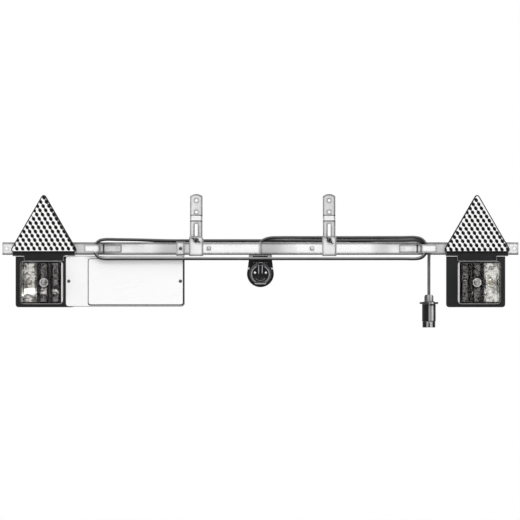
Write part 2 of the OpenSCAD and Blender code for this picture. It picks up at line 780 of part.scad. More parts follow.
// Reflector: triangular block with a narrow step round its face
module triangle_reflector(s) {
    step = 1.5;
    color("whitesmoke") at_triangle(s) translate([0, carrier_front, triangle_z]) {
        sheet(reflector_depth - step) polygon(triangle_points(triangle_side, triangle_r));
        translate([0, 0, step]) sheet(reflector_depth)
            polygon(triangle_points(triangle_side - 2 * sqrt(3) * step, triangle_r - step));
    }
}
module triangle_reflector_left() triangle_reflector(-1);
module triangle_reflector_right() triangle_reflector(1);

// Number-plate panel with a pressed field, its hanger and its screws
plate_screw_d = 4;
hanger_screw_d = 4;
panel_r = 8;
field_side = 1.2;
field_up = 2.5;
hanger_t = 2;
hanger_low = panel_z - 8;
plate_screw_left = panel_x - panel_w / 2 + 8;
module plate_panel() {
    field_x = panel_right - field_side - field_w / 2;
    field_z = panel_z - panel_h / 2 + field_up + field_h / 2;
    color("white") difference() {
        union() {
            translate([panel_x, panel_back, panel_z]) sheet(panel_t) round_rect(panel_w, panel_h, panel_r);
            translate([field_x, panel_front, field_z]) sheet(field_rise) round_rect(field_w, field_h, panel_r - 2);
        }
        translate([field_x, panel_back + 1, field_z]) sheet(field_rise + 1)
            round_rect(field_w - 2 * panel_t, field_h - 2 * panel_t, panel_r - 2 - panel_t);
        translate([plate_screw_left, panel_back + 1, panel_z]) rod(plate_screw_d + fit, panel_t + 2);
        translate([hanger_x, panel_back + 1, panel_z]) rod(plate_screw_d + fit, panel_t + field_rise + 2);
    }
}
module panel_hanger() {
    hook_back = bar_front + 8;
    drop = 6;
    color("gainsboro") translate([hanger_x, 0, 0]) difference() {
        profile(hanger_w) polygon([
            [hook_back, bar_top], [bar_front, bar_top], [bar_front, bar_bottom],
            [panel_back + hanger_t, bar_bottom - drop], [panel_back + hanger_t, hanger_low],
            [panel_back, hanger_low], [panel_back, bar_bottom - drop - hanger_t / 2],
            [bar_front - hanger_t, bar_bottom - hanger_t / 2], [bar_front - hanger_t, bar_top + hanger_t],
            [hook_back, bar_top + hanger_t]
        ]);
        translate([0, bar_front + 1, bar_z]) rod(hanger_screw_d + fit, hanger_t + 2);
        translate([0, panel_back + hanger_t + 1, panel_z]) rod(plate_screw_d + fit, hanger_t + 2);
    }
}
module plate_screws() {
    head_d = 8;
    head_h = 2.2;
    nut_t = 3;
    left_grip = panel_t + lamp_tray;
    right_front = panel_front - field_rise;
    color("dimgray") {
        translate([plate_screw_left, panel_front, panel_z]) {
            dome_head(head_d, head_h);
            translate([0, left_grip + nut_t + 1, 0]) rod(plate_screw_d, left_grip + nut_t + 1);
            translate([0, left_grip, 0]) nut(plate_screw_d, nut_t);
        }
        translate([hanger_x, right_front, panel_z]) {
            dome_head(head_d, head_h);
            translate([0, panel_back + hanger_t + nut_t + 1 - right_front, 0])
                rod(plate_screw_d, panel_back + hanger_t + nut_t + 1 - right_front);
            translate([0, panel_back + hanger_t - right_front, 0]) nut(plate_screw_d, nut_t);
        }
        translate([hanger_x, bar_front - hanger_t, bar_z]) {
            dome_head(head_d, head_h);
            translate([0, hanger_t + bar_wall + nut_t + 1, 0]) rod(hanger_screw_d, hanger_t + bar_wall + nut_t + 1);
            translate([0, hanger_t + bar_wall, 0]) nut(hanger_screw_d, nut_t);
        }
    }
}

// Socket under the middle of the bar
socket_bolt_x = [22];
socket_bolt_d = 4;
socket_bolt_y = bar_front + 9;
bracket_t = 2;
bracket_w = 56;
flange_t = 6;
flange_back = bar_front - gasket_t;
flange_front = flange_back - flange_t;
collar_d = 47;
collar_h = 5.5;
collar_front = flange_front - collar_h;
ear_x = 27.5;
ear_z = 12.6;
ear_screw_d = 3.5;
shoulder_w = 56;
barrel_l = 24;
knuckle_r = 2.6;
hinge_pin_d = 2.5;
hinge_y = collar_front - gap - knuckle_r;
hinge_z = socket_z + lid_d / 2 + 1;
lug_in = 10;
lug_out = 16;
module at_socket(y) translate([bar_shift, y, socket_z]) children();
// Round below, sloping in to the shoulders above
module socket_outline() {
    top = hinge_z - socket_z + 6;
    circle(d = socket_w);
    polygon([[-socket_w / 2, 0], [socket_w / 2, 0], [shoulder_w / 2, top], [-shoulder_w / 2, top]]);
}
module ear_holes(y, l)
    for (sx = [-1, 1]) at_socket(y) translate([sx * ear_x, 0, ear_z]) rod(ear_screw_d + fit, l);
module socket_bracket() {
    leg = 16;
    color("silver") difference() {
        union() {
            translate([bar_shift - bracket_w / 2, bar_front, bar_bottom - bracket_t])
                cube([bracket_w, leg, bracket_t]);
            translate([bar_shift - bracket_w / 2, bar_front, hinge_z])
                cube([bracket_w, bracket_t, bar_bottom - hinge_z]);
            at_socket(bar_front + bracket_t) sheet(bracket_t) socket_outline();
        }
        at_socket(bar_front + bracket_t + 1) rod(barrel_d + 2 * fit, bracket_t + 2);
        ear_holes(bar_front + bracket_t + 1, bracket_t + 2);
        for (sx = [-1, 1], x = socket_bolt_x)
            translate([bar_shift + sx * x, socket_bolt_y, bar_bottom - bracket_t - 1])
                cylinder(h = bracket_t + 2, d = socket_bolt_d + fit);
    }
}
module socket_gasket() {
    color("dimgray") difference() {
        at_socket(bar_front) sheet(gasket_t) socket_outline();
        at_socket(bar_front + 1) rod(barrel_d + 2 * fit, gasket_t + 2);
        ear_holes(bar_front + 1, gasket_t + 2);
    }
}
module hinge_lugs(low, high)
    for (sx = [-1, 1]) translate([bar_shift + sx * (low + high) / 2, hinge_y, hinge_z])
        cross_rod(2 * knuckle_r, high - low);
mouth_depth = 26;
module socket_housing() {
    block_w = 36;
    block_top = bar_bottom - bracket_t - 0.5;
    color("black") difference() {
        union() {
            at_socket(flange_back) sheet(flange_t) socket_outline();
            at_socket(flange_front) rod(collar_d, collar_h);
            at_socket(flange_back + barrel_l) rod(barrel_d, barrel_l);
            translate([bar_shift - block_w / 2, flange_front, hinge_z + 5])
                cube([block_w, flange_t, block_top - hinge_z - 5]);
            hinge_lugs(lug_in, lug_out);
            for (sx = [-1, 1])
                translate([bar_shift + sx * (lug_in + lug_out) / 2 - (lug_out - lug_in) / 2, hinge_y, hinge_z - 1])
                    cube([lug_out - lug_in, flange_front - hinge_y + 1, knuckle_r + 1]);
        }
        at_socket(collar_front - 1 + mouth_depth) rod(mouth_d, mouth_depth);
        translate([bar_shift, hinge_y, hinge_z]) cross_rod(hinge_pin_d + run, 2 * lug_out + 2);
        ear_holes(flange_back + 1, flange_t + 2);
        // Notch for the lid's own knuckles and the spring
        translate([bar_shift - lug_in - gap, hinge_y - 4, hinge_z - knuckle_r - gap])
            cube([2 * (lug_in + gap), 4 + knuckle_r + gap, 2 * (knuckle_r + gap)]);
    }
}
insert_t = 8;
insert_back = collar_front - 1 + mouth_depth;
module socket_insert() {
    color("dimgray") at_socket(insert_back) rod(mouth_d - fit, insert_t);
}
contact_ring = 12.5;
module socket_contacts() {
    contact_d = 3.5;
    contact_l = 11;
    color("goldenrod") at_socket(insert_back - insert_t) {
        rod(contact_d, contact_l);
        for (k = [0:5]) rotate([0, 60 * k, 0]) translate([contact_ring, 0, 0]) rod(contact_d, contact_l);
    }
}
// Sprung lid: round plate with raised arcs and two ribs, hung from the hinge pin
lid_back = collar_front - gap;
module lid_ring(outer, inner, h)
    at_socket(lid_back - lid_t) difference() {
        rod(outer, h);
        translate([0, 1, 0]) rod(inner, h + 2);
    }
module socket_lid() {
    knuckle_in = 5;
    knuckle_out = lug_in - gap;
    arm_w = knuckle_out - knuckle_in;
    color("black") difference() {
        union() {
            at_socket(lid_back) rod(lid_d, lid_t);
            lid_ring(lid_d, lid_d - 3, 0.8);
            lid_ring(lid_d - 10, lid_d - 13, 0.8);
            for (sx = [-1, 1]) {
                translate([bar_shift + sx * 4.3 - 1, lid_back - lid_t - 1.2, socket_z])
                    cube([2, 1.3, lid_d / 2 - 5]);
                translate([bar_shift + sx * (knuckle_in + knuckle_out) / 2 - arm_w / 2, lid_back - lid_t, hinge_z - 6])
                    cube([arm_w, lid_t, 6]);
            }
            hinge_lugs(knuckle_in, knuckle_out);
            translate([bar_shift - 14, lid_back - lid_t - 1, socket_z - lid_d / 2 + 1]) cube([28, lid_t + 1, 4]);
        }
        translate([bar_shift, hinge_y, hinge_z]) {
            cross_rod(hinge_pin_d + run, 2 * lug_out + 2);
            cross_rod(2 * (knuckle_r + gap), 2 * knuckle_in);
        }
    }
}
module socket_hinge_pin() {
    color("silver") translate([bar_shift, hinge_y, hinge_z]) cross_rod(hinge_pin_d, 2 * lug_out + 1);
}
// Closing spring: coils round the hinge pin
module socket_spring() {
    wire = 0.8;
    turns = 5;
    coil_r = hinge_pin_d / 2 + wire / 2 + 0.2;
    steps = 10;
    route = [for (k = [0:turns * steps])
        [bar_shift + (k / (turns * steps) - 0.5) * 8.4, hinge_y + coil_r * cos(360 * k / steps),
            hinge_z + coil_r * sin(360 * k / steps)]];
    color("gainsboro") swept(route, wire, 6);
}
module socket_screws() {
    head_d = 6.5;
    head_h = 2;
    nut_t = 3;
    grip = flange_t + gasket_t + bracket_t;
    upper_grip = bracket_t + bar_wall + fit + joiner_wall;
    upper_nut = 2.5;
    color("silver") {
        for (sx = [-1, 1]) at_socket(flange_front) translate([sx * ear_x, 0, ear_z]) {
            dome_head(head_d, head_h);
            translate([0, grip + nut_t + 1, 0]) rod(ear_screw_d, grip + nut_t + 1);
            translate([0, grip, 0]) nut(ear_screw_d, nut_t);
        }
        for (sx = [-1, 1], x = socket_bolt_x)
            translate([bar_shift + sx * x, socket_bolt_y, bar_bottom - bracket_t]) {
                cylinder(h = upper_grip + upper_nut + 0.5, d = socket_bolt_d);
                rotate([90, 0, 0]) dome_head(head_d, head_h);
                translate([0, 0, upper_grip]) difference() {
                    cylinder(h = upper_nut, d = socket_bolt_d * 1.8, $fn = 6);
                    translate([0, 0, -1]) cylinder(h = upper_nut + 2, d = socket_bolt_d + fit);
                }
            }
    }
}

// Junction box in the channel behind the seam, with the gland that the lead starts from
box_side = 60;
box_x = bar_shift - box_side;
box_l = 54;
box_h = 14;
box_front = joiner_back;
box_depth = 17;
gland_l = 12;
gland_d = 12;
lead_start = [box_x + box_l / 2 + gland_l, box_front + box_depth - 6, bar_z];
module junction_box() {
    color("dimgray") difference() {
        union() {
            translate([box_x - box_l / 2, box_front, bar_z - box_h / 2]) cube([box_l, box_depth, box_h]);
            translate([box_x - box_l / 2 + 2, box_front + box_depth, bar_z - box_h / 2 + 2])
                cube([box_l - 4, 1, box_h - 4]);
        }
        translate([box_x + box_l / 2, lead_start[1], bar_z]) cross_rod(gland_d - 4, 12);
    }
}
module lead_grommet() {
    color("dimgray") translate([box_x + box_l / 2, lead_start[1], bar_z]) rotate([0, 90, 0]) {
        cylinder(h = gland_l, d1 = gland_d - 0.5, d2 = lead_d + 2.5, $fn = 32);
        translate([0, 0, -6 + fit]) cylinder(h = 6, d = gland_d - 4 - 2 * fit);
    }
}

// Lamp cables low in the channel, from the junction box to the back of each lamp
cable_y = box_front + 2.8;
cable_high = bar_z - 3.5;
cable_low = bar_z - 8;
module harness(s, first) {
    down_x = lamp_x + strap_mid;
    behind = bar_back + 6.3;
    route = concat(first, [
        [rivet_x - 4, cable_y, cable_low], [rivet_x + 126, cable_y, cable_low],
        [hook_in + 67, cable_y, cable_low], [down_x - 47, cable_y, cable_low],
        [down_x - 23, bar_back - 1.7, cable_low - 0.5], [down_x - 9, bar_back + 4.3, cable_low - 5],
        [down_x - 1, behind, bar_bottom - 7], [down_x, behind, bar_bottom - 23],
        [down_x, behind - 1, bar_bottom - 48], [down_x, behind - 6, cable_hole_z + 17],
        [down_x, lamp_back + 9.3, cable_hole_z + 5], [down_x, lamp_back + 2.3, cable_hole_z],
        [down_x, lamp_back - lamp_wall - 0.7, cable_hole_z]
    ]);
    color("black") translate([bar_shift, 0, 0]) side(s) swept(route, cable_d, 8);
}
module harness_left() {
    start = bar_shift - box_x + box_l / 2;
    harness(-1, [
        [start, cable_y, cable_high], [start + 6, cable_y, cable_high], [start + 19, cable_y, cable_high - 2.5]
    ]);
}
module harness_right() {
    start = box_x - bar_shift + box_l / 2;
    harness(1, [
        [start, cable_y, cable_high], [start + 48, cable_y, cable_high], [start + 88, cable_y, cable_high - 2.5]
    ]);
}

// Wound lead: up from behind the seam, one and a half turns in the front layer, one more behind it,
// then down from the right hook to the plug
plug_top = [399, -40.4, -213];
lead_route = [
    lead_start, [-23.5, -17.8, -102], [-17, -16.5, -99.5], [-11, -13.5, -94], [-2, -13.4, -84],
    [13, -13.4, -77], [45, -12.8, -75.4],
    [100, -9, -75.4], [140, -5.6, -75.4], [185, -5.6, -75.4], [220, -11, -75.4], [260, -26, -75.4],
    [300, -44, -75.4], [335, -54, -75.4], [367, -56, -75.4],
    [379.8, -56, -78.8], [389.1, -56, -88.1], [392.5, -56, -100.9], [389.1, -56, -113.6],
    [379.8, -56, -123], [367, -56, -126.4],
    [180, -56, -126.4], [0, -56, -126.4], [-200, -56, -126.4], [-380.5, -56, -126.4],
    [-392, -56, -123.3], [-400.4, -56, -114.9], [-403.5, -56, -103.5], [-400.4, -56, -92],
    [-392, -56, -83.6], [-380.5, -56, -80.5],
    [-345, -54.5, -80.5], [-305, -44, -81], [-265, -26, -82], [-225, -11, -82.9], [-190, -5.6, -82.9],
    [-60, -5.6, -82.9], [60, -5.6, -82.9], [190, -5.6, -82.9], [225, -11, -82.9], [265, -26, -82.9],
    [305, -42, -82.9], [340, -48, -82.9], [370.8, -48.2, -82.9],
    [381.6, -48.2, -85.8], [389.6, -48.2, -93.8], [392.5, -48.2, -104.6], [389.6, -48.2, -115.5],
    [381.6, -48.2, -123.5], [370.8, -48.2, -126.4],
    [180, -48.2, -126.4], [0, -48.2, -126.4], [-200, -48.2, -126.4], [-380.5, -48.2, -126.4],
    [-392, -48.2, -123.3], [-400.4, -48.2, -114.9], [-403.5, -48.2, -103.5], [-400.4, -48.2, -92],
    [-392, -48.2, -83.6], [-380.5, -48.2, -80.5],
    [-345, -46.5, -80.5], [-305, -36, -81], [-265, -17.5, -82.9], [-245, -8, -85], [-220, -5.6, -89.5],
    [-190, -5.6, -91], [-60, -5.6, -91], [60, -5.6, -91], [190, -5.6, -91], [220, -5.6, -89.5],
    [245, -8, -85], [265, -16, -82.9], [305, -33.5, -82.9], [340, -40, -82.9], [372, -40.4, -82.9],
    [387, -40.4, -86.1], [395.8, -40.4, -94.9], [399, -40.4, -106.9], [399, -40.4, -130],
    [399, -40.4, -170], plug_top
];
module lead() color("black") swept(lead_route, lead_d, 8);

// Plug: cable nut, thin flange and ribbed body, lower sleeve round seven pins
gland_nut_d = 22;
gland_nut_h = 16;
body_h = 48;
sleeve_h = 14.5;
sleeve_wall = 2.5;
plug_flange_t = 4.5;
module at_plug(z) translate([plug_top[0], plug_top[1], plug_top[2] - z]) children();
module plug_gland() {
    color("black") at_plug(gland_nut_h) difference() {
        union() {
            cylinder(h = gland_nut_h - 4, d = gland_nut_d);
            translate([0, 0, gland_nut_h - 4]) cylinder(h = 4, d1 = gland_nut_d, d2 = gland_nut_d - 5, $fn = 48);
        }
        for (k = [0:11]) rotate([0, 0, 30 * k]) translate([gland_nut_d / 2 + 0.6, 0, 1])
            cylinder(h = gland_nut_h - 6, d = 3);
    }
}
module plug_body() {
    rib_w = 5;
    rib_l = body_h - 12;
    rib_x = [1.5, 8];
    color("black") at_plug(gland_nut_h + body_h) {
        cylinder(h = body_h - 6, d = plug_d);
        translate([0, 0, body_h - 6]) cylinder(h = 6, d = plug_d - 5);
        translate([0, 0, body_h - 6]) cylinder(h = plug_flange_t, d = plug_flange_d);
        for (x = rib_x) translate([x - rib_w / 2, -plug_d / 2 - 1, 2]) cube([rib_w, 7, rib_l]);
    }
}
module plug_sleeve() {
    sleeve_d = plug_d - 2;
    color("black") at_plug(gland_nut_h + body_h + sleeve_h) difference() {
        cylinder(h = sleeve_h, d = sleeve_d);
        translate([0, 0, -1]) cylinder(h = sleeve_h + 2, d = sleeve_d - 2 * sleeve_wall);
        translate([0, -sleeve_d / 2, -1]) cube([4, 2 * sleeve_wall + 2, 2 * sleeve_h - 8], center = true);
    }
}
pin_ring = 8.5;
module plug_pins() {
    pin_d = 3.4;
    pin_l = 11.5;
    color("goldenrod") at_plug(gland_nut_h + body_h + pin_l) {
        cylinder(h = pin_l, d = pin_d);
        for (k = [0:5]) rotate([0, 0, 60 * k]) translate([pin_ring, 0, 0]) cylinder(h = pin_l, d = pin_d);
    }
}

upright_left();
upright_right();
bar_left();
bar_right();
bar_joiner();
joiner_rivets();
clamp_plate_left();
clamp_plate_right();
clamp_bolts();
clamp_washers();
wing_nut_left();
wing_nut_right();
lead_hook_left();
lead_hook_right();
hook_rivets();
lamp_bracket_left();
lamp_bracket_right();
bracket_bolts();
lamp_bolts();
lamp_housing_left();
lamp_housing_right();
lamp_reflector_left();
lamp_reflector_right();
lamp_bulbs_left();
lamp_bulbs_right();
lens_gasket_left();
lens_gasket_right();
lens_red_left();
lens_red_right();
lens_amber_left();
lens_amber_right();
plate_window_left();
lens_screws();
triangle_carrier_left();
triangle_carrier_right();
triangle_reflector_left();
triangle_reflector_right();
carrier_screws();
plate_panel();
panel_hanger();
plate_screws();
socket_bracket();
socket_housing();
socket_insert();
socket_contacts();
socket_gasket();
socket_lid();
socket_hinge_pin();
socket_spring();
socket_screws();
junction_box();
lead_grommet();
harness_left();
harness_right();
lead();
plug_gland();
plug_body();
plug_sleeve();
plug_pins();
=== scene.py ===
"""Looks of the trailer light set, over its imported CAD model.

The frame is the CAD's: X to the right, Y to the back, Z up, with the origin at the centre of the
four bracket holes. Shapes are given in millimetres here, like the part's source, and are scaled
to metres where a mesh is made.
"""
import math

import bmesh
import bpy
from mathutils import Matrix, Vector


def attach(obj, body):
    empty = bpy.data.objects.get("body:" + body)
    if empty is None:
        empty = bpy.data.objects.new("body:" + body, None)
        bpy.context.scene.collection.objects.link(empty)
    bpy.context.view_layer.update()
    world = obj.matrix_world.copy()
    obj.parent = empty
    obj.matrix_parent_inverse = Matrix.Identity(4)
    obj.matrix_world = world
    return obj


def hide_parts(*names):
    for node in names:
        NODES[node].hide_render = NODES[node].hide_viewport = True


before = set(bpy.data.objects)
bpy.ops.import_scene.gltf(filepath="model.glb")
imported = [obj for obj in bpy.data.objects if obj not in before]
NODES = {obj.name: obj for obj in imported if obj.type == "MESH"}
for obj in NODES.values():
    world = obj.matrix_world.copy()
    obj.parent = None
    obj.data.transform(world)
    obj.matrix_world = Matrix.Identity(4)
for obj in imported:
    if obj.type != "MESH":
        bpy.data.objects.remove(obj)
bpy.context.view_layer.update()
MM = 0.001

# Sizes and places that repeat the part's source
BAR_SHIFT = -5.5
BAR_FOOT = -117.0
LAMP_X = 517.0
LAMP_Z = -182.0
LAMP_W = 142.0
LAMP_H = 122.0
LAMP_R = 7.0
LAMP_BACK = -34.3
TRAY_FRONT = -40.3
RIM_FRONT = -45.3
LENS_OUT = 8.5
LENS_Z = -183.5
LENS_SIZE = 101.0
LENS_R = 8.0
RIM_HALF = LENS_SIZE / 2 + 1
LENS_BACK = -46.3
LENS_FRONT = -74.3
LENS_WALL = 2.2
LENS_ROUND = 3.0
CAVITY = 95.0
AMBER_IN = 9.5
MIDDLE_IN = -20.5
BULB_X = (-34.4, -5.5, 28.9)
REFLECTOR_BACK = -41.3
TRIANGLE_X = 520.0
TRIANGLE_Z = -110.5
TRIANGLE_SIDE = 165.0
TRIANGLE_R = 6.0
CARRIER_FRONT = -45.3
REFLECTOR_FRONT = -52.3
SOCKET_X = -5.5
SOCKET_Z = -162.5
LID_FRONT = -48.6
PLUG_X = 399.0
PLUG_Y = -40.4

# Flat shapes are drawn lying down and then turned to look to the front
LIE_TO_FRONT = Matrix.Rotation(math.radians(90), 4, "X")


# Node materials

def start_material(name):
    """A new material with its node tree and its Principled shader."""
    material = bpy.data.materials.new(name)
    material.use_nodes = True
    tree = material.node_tree
    return material, tree, tree.nodes["Principled BSDF"]


def feed(tree, socket, value):
    """Joins a socket to another node's output, or sets its value."""
    if isinstance(value, bpy.types.NodeSocket):
        tree.links.new(value, socket)
    else:
        socket.default_value = value


def add_node(tree, kind, sockets=None, **settings):
    """A shader node with its settings, and its sockets by name or number."""
    made = tree.nodes.new("ShaderNode" + kind)
    for key, value in settings.items():
        setattr(made, key, value)
    for key, value in (sockets or {}).items():
        feed(tree, made.inputs[key], value)
    return made


def surface_place(tree, scale=(1.0, 1.0, 1.0)):
    """Object coordinates in metres, stretched by a scale."""
    coords = add_node(tree, "TexCoord")
    mapped = add_node(tree, "Mapping", {"Vector": coords.outputs["Object"], "Scale": scale})
    return mapped.outputs["Vector"]


def noise(tree, place, scale, detail, roughness=0.5, distortion=0.0):
    made = add_node(tree, "TexNoise", {
        "Vector": place, "Scale": scale, "Detail": detail, "Roughness": roughness,
        "Distortion": distortion,
    })
    return made.outputs["Fac"]


def grey(value):
    return (value, value, value, 1.0)


def ramp(tree, value, *stops):
    """Colours or greys between stops of (position, grey or colour)."""
    made = add_node(tree, "ValToRGB", {"Fac": value})
    elements = made.color_ramp.elements
    while len(elements) < len(stops):
        elements.new(0.5)
    for element, (position, shade) in zip(elements, stops):
        element.position = position
        element.color = grey(shade) if isinstance(shade, float) else (*shade, 1.0)
    return made.outputs["Color"]


def mixed(tree, factor, low, high, blend="MIX"):
    """One colour over another, by a factor."""
    made = add_node(tree, "Mix", {"Factor": factor}, data_type="RGBA", blend_type=blend)
    feed(tree, made.inputs[6], low)
    feed(tree, made.inputs[7], high)
    return made.outputs[2]


def calculated(tree, operation, *values):
    made = add_node(tree, "Math", operation=operation)
    for socket, value in zip(made.inputs, values):
        feed(tree, socket, value)
    return made.outputs[0]


def share_between(tree, metres, low, high):
    """Where a coordinate in metres lies between two places in millimetres, 0 to 1."""
    span = (high - low) * MM
    return calculated(tree, "MULTIPLY_ADD", metres, 1 / span, -low * MM / span)


def edge_mask(tree, radius, low=0.985, high=0.9997):
    """0 on faces and 1 along edges, within a radius of them; gives the rounded normal too."""
    bevel = add_node(tree, "Bevel", {"Radius": radius}, samples=4)
    plain = add_node(tree, "NewGeometry")
    dot = add_node(tree, "VectorMath", {0: bevel.outputs["Normal"], 1: plain.outputs["Normal"]},
                   operation="DOT_PRODUCT")
    return ramp(tree, dot.outputs["Value"], (low, 1.0), (high, 0.0)), bevel.outputs["Normal"]


def upward(tree):
    """How far a surface looks up, from -1 to 1."""
    painted_top_light = add_node(tree, "SeparateXYZ", {"Vector": add_node(tree, "TexCoord").outputs["Normal"]})
    return painted_top_light.outputs["Z"]


def bumped(tree, height, distance, normal=None):
    made = add_node(tree, "Bump", {"Height": height, "Distance": distance, "Strength": 1.0})
    if normal is not None:
        feed(tree, made.inputs["Normal"], normal)
    return made.outputs["Normal"]


def galvanised(name, bright, dark, patch, along=0.0, ends=()):
    """Galvanised sheet: zinc spangle, rolling streaks, painted patches of reflection, edges painted
    dark as shade.

    The bar has ends, which are tones past the patches as (metres from the middle, grey), and a
    line of painted shade along its foot.
    """
    material, tree, shader = start_material(name)
    place = surface_place(tree)
    streaks = noise(tree, surface_place(tree, (14.0, 300.0, 900.0)), 1.0, 3.0, 0.6)
    # Painted reflections: slanting light and dark patches, shifted along the bar by along
    moved = add_node(tree, "VectorMath", {0: place, 1: (along, 0.0, 0.0)})
    slant = add_node(tree, "Mapping", {
        "Vector": moved.outputs["Vector"], "Rotation": (0.0, math.radians(-38.0), 0.0),
        "Scale": (patch, 2.0, 1.5),
    })
    painted_reflection = noise(tree, slant.outputs["Vector"], 1.0, 1.5, 0.4)
    spangle = add_node(tree, "TexVoronoi", {"Vector": place, "Scale": 260.0}, feature="F1")
    fine = noise(tree, place, 1400.0, 2.0, 0.6)
    base = ramp(tree, painted_reflection, (0.33, dark), (0.45, bright), (0.58, bright), (0.70, dark * 1.2))
    if ends:
        axes = add_node(tree, "SeparateXYZ", {"Vector": place})
        reach = calculated(tree, "ABSOLUTE", axes.outputs["X"])
        past = ramp(tree, reach, (ends[0][0] - 0.025, 0.0), (ends[0][0], 1.0))
        base = mixed(tree, past, base, ramp(tree, reach, *ends))
    crystal = ramp(tree, spangle.outputs["Color"], (0.0, 0.90), (1.0, 1.0))
    base = mixed(tree, 0.75, base, crystal, "MULTIPLY")
    base = mixed(tree, 0.5, base, ramp(tree, streaks, (0.3, 0.84), (0.7, 1.0)), "MULTIPLY")
    # A slanting crank is painted bright up to its bends: a painted highlight of the light it faces
    tilt = calculated(tree, "ABSOLUTE", upward(tree))
    painted_crank_highlight = ramp(tree, tilt, (0.25, 0.0), (0.40, 0.9), (0.85, 0.9), (0.95, 0.0))
    base = mixed(tree, painted_crank_highlight, base, grey(0.98))
    # Edges painted dark as outlines of shade, spared along the bends of the crank's painted
    # highlight
    mask, soft_normal = edge_mask(tree, 0.0072, 0.995, 0.9999)
    turned_out = add_node(tree, "SeparateXYZ", {"Vector": soft_normal})
    sideways = calculated(tree, "ABSOLUTE", turned_out.outputs["X"])
    spared = calculated(tree, "MULTIPLY", painted_crank_highlight, ramp(tree, sideways, (0.02, 1.0), (0.12, 0.0)))
    mask = calculated(tree, "MULTIPLY", mask, calculated(tree, "SUBTRACT", 1.0, spared))
    base = mixed(tree, mask, base, grey(0.01))
    if ends:
        # A line of painted shade along the bar's foot
        above_foot = share_between(tree, axes.outputs["Z"], BAR_FOOT, BAR_FOOT + 4.0)
        line = ramp(tree, above_foot, (0.35, 0.85), (0.65, 0.0))
        base = mixed(tree, line, base, grey(0.02))
    feed(tree, shader.inputs["Base Color"], base)
    shader.inputs["Metallic"].default_value = 0.75
    rough = calculated(tree, "MULTIPLY_ADD", spangle.outputs["Color"], 0.12, 0.34)
    rough = calculated(tree, "MULTIPLY_ADD", fine, 0.16, rough)
    feed(tree, shader.inputs["Roughness"], rough)
    grain = calculated(tree, "MULTIPLY_ADD", streaks, 0.5, fine)
    feed(tree, shader.inputs["Normal"], bumped(tree, grain, 0.00006, soft_normal))
    return material


def plated(name, low, high, edge, roughness, edge_radius=0.0006):
    """Small metal pieces: tool marks, a cloudy tone of two colours, edges painted in a tone of
    their own: painted shade where dark, painted glints where light.
    """
    material, tree, shader = start_material(name)
    place = surface_place(tree)
    marks = noise(tree, place, 700.0, 3.0, 0.65)
    tint = noise(tree, place, 90.0, 2.0)
    mask, soft_normal = edge_mask(tree, edge_radius)
    base = ramp(tree, tint, (0.3, low), (0.7, high))
    base = mixed(tree, mask, base, (*edge, 1.0))
    feed(tree, shader.inputs["Base Color"], base)
    shader.inputs["Metallic"].default_value = 0.9
    rough = calculated(tree, "MULTIPLY_ADD", marks, 0.25, roughness - 0.1)
    feed(tree, shader.inputs["Roughness"], rough)
    feed(tree, shader.inputs["Normal"], bumped(tree, marks, 0.00005, soft_normal))
    return material


def zinc(name, shade, roughness=0.3, edge=0.1, edge_radius=0.0006):
    low = (shade * 0.62,) * 3
    return plated(name, low, (shade,) * 3, (edge,) * 3, roughness, edge_radius)


def plastic(name, color, roughness, grain_scale, grain_height, edge_lift, edge_radius=0.0009,
            specular=0.3):
    """Moulded plastic: fine grain, faint flow marks and lighter edges: a little wear, and a painted
    edge highlight where the lift is large.
    """
    material, tree, shader = start_material(name)
    place = surface_place(tree)
    grain = noise(tree, place, grain_scale, 3.0, 0.6)
    flow = noise(tree, surface_place(tree, (18.0, 18.0, 9.0)), 1.0, 3.0, 0.55, 0.6)
    mask, soft_normal = edge_mask(tree, edge_radius)
    low = tuple(c * 0.78 for c in color)
    lifted = tuple(c * (1 + edge_lift) + 0.03 * edge_lift for c in color)
    base = ramp(tree, flow, (0.3, low), (0.7, color))
    base = mixed(tree, mask, base, (*lifted, 1.0))
    feed(tree, shader.inputs["Base Color"], base)
    rough = calculated(tree, "MULTIPLY_ADD", grain, 0.2, roughness - 0.1)
    feed(tree, shader.inputs["Roughness"], rough)
    shader.inputs["Specular IOR Level"].default_value = specular
    feed(tree, shader.inputs["Normal"], bumped(tree, grain, grain_height, soft_normal))
    return material


def across_seat(tree):
    """How far across a lens's seat a point lies: 0 towards the bar's middle, 1 towards its end."""
    axes = add_node(tree, "SeparateXYZ", {"Vector": surface_place(tree)})
    centred = calculated(tree, "SUBTRACT", axes.outputs["X"], BAR_SHIFT * MM)
    from_middle = calculated(tree, "ABSOLUTE", centred)
    seat = LAMP_X + LENS_OUT
    return share_between(tree, from_middle, seat - RIM_HALF, seat + RIM_HALF)


def paint_side_glint(material, reach, shade):
    """A painted highlight: a diffuse white band on a lens's side wall, on its side towards the
    bar's middle.
    """
    tree = material.node_tree
    surface = tree.nodes["Material Output"].inputs["Surface"]
    glow = add_node(tree, "BsdfDiffuse", {"Color": grey(shade)})
    share = ramp(tree, across_seat(tree), (reach, 1.0), (reach + 0.004, 0.0))
    plain = surface.links[0].from_socket
    joined = add_node(tree, "MixShader", {0: share, 1: plain, 2: glow.outputs[0]})
    tree.links.new(joined.outputs[0], surface)


def lens_rim(name, inner, middle, outer):
    """Painted gloss on the lens's seat: painted bright towards the bar's middle and painted dim
    towards its end.
    """
    material = plastic(name, (0.30, 0.30, 0.31), 0.3, 1500.0, 0.00002, 0.6)
    tree = material.node_tree
    shader = tree.nodes["Principled BSDF"]
    across = across_seat(tree)
    shade = ramp(tree, across, (0.022, inner), (0.05, middle), (0.93, middle), (0.97, outer))
    plain = shader.inputs["Base Color"].links[0].from_socket
    feed(tree, shader.inputs["Base Color"], mixed(tree, 0.8, plain, shade))
    return material


GLOSS = (0.004, 0.004, 0.005)
RIB_SPAN = 34.0


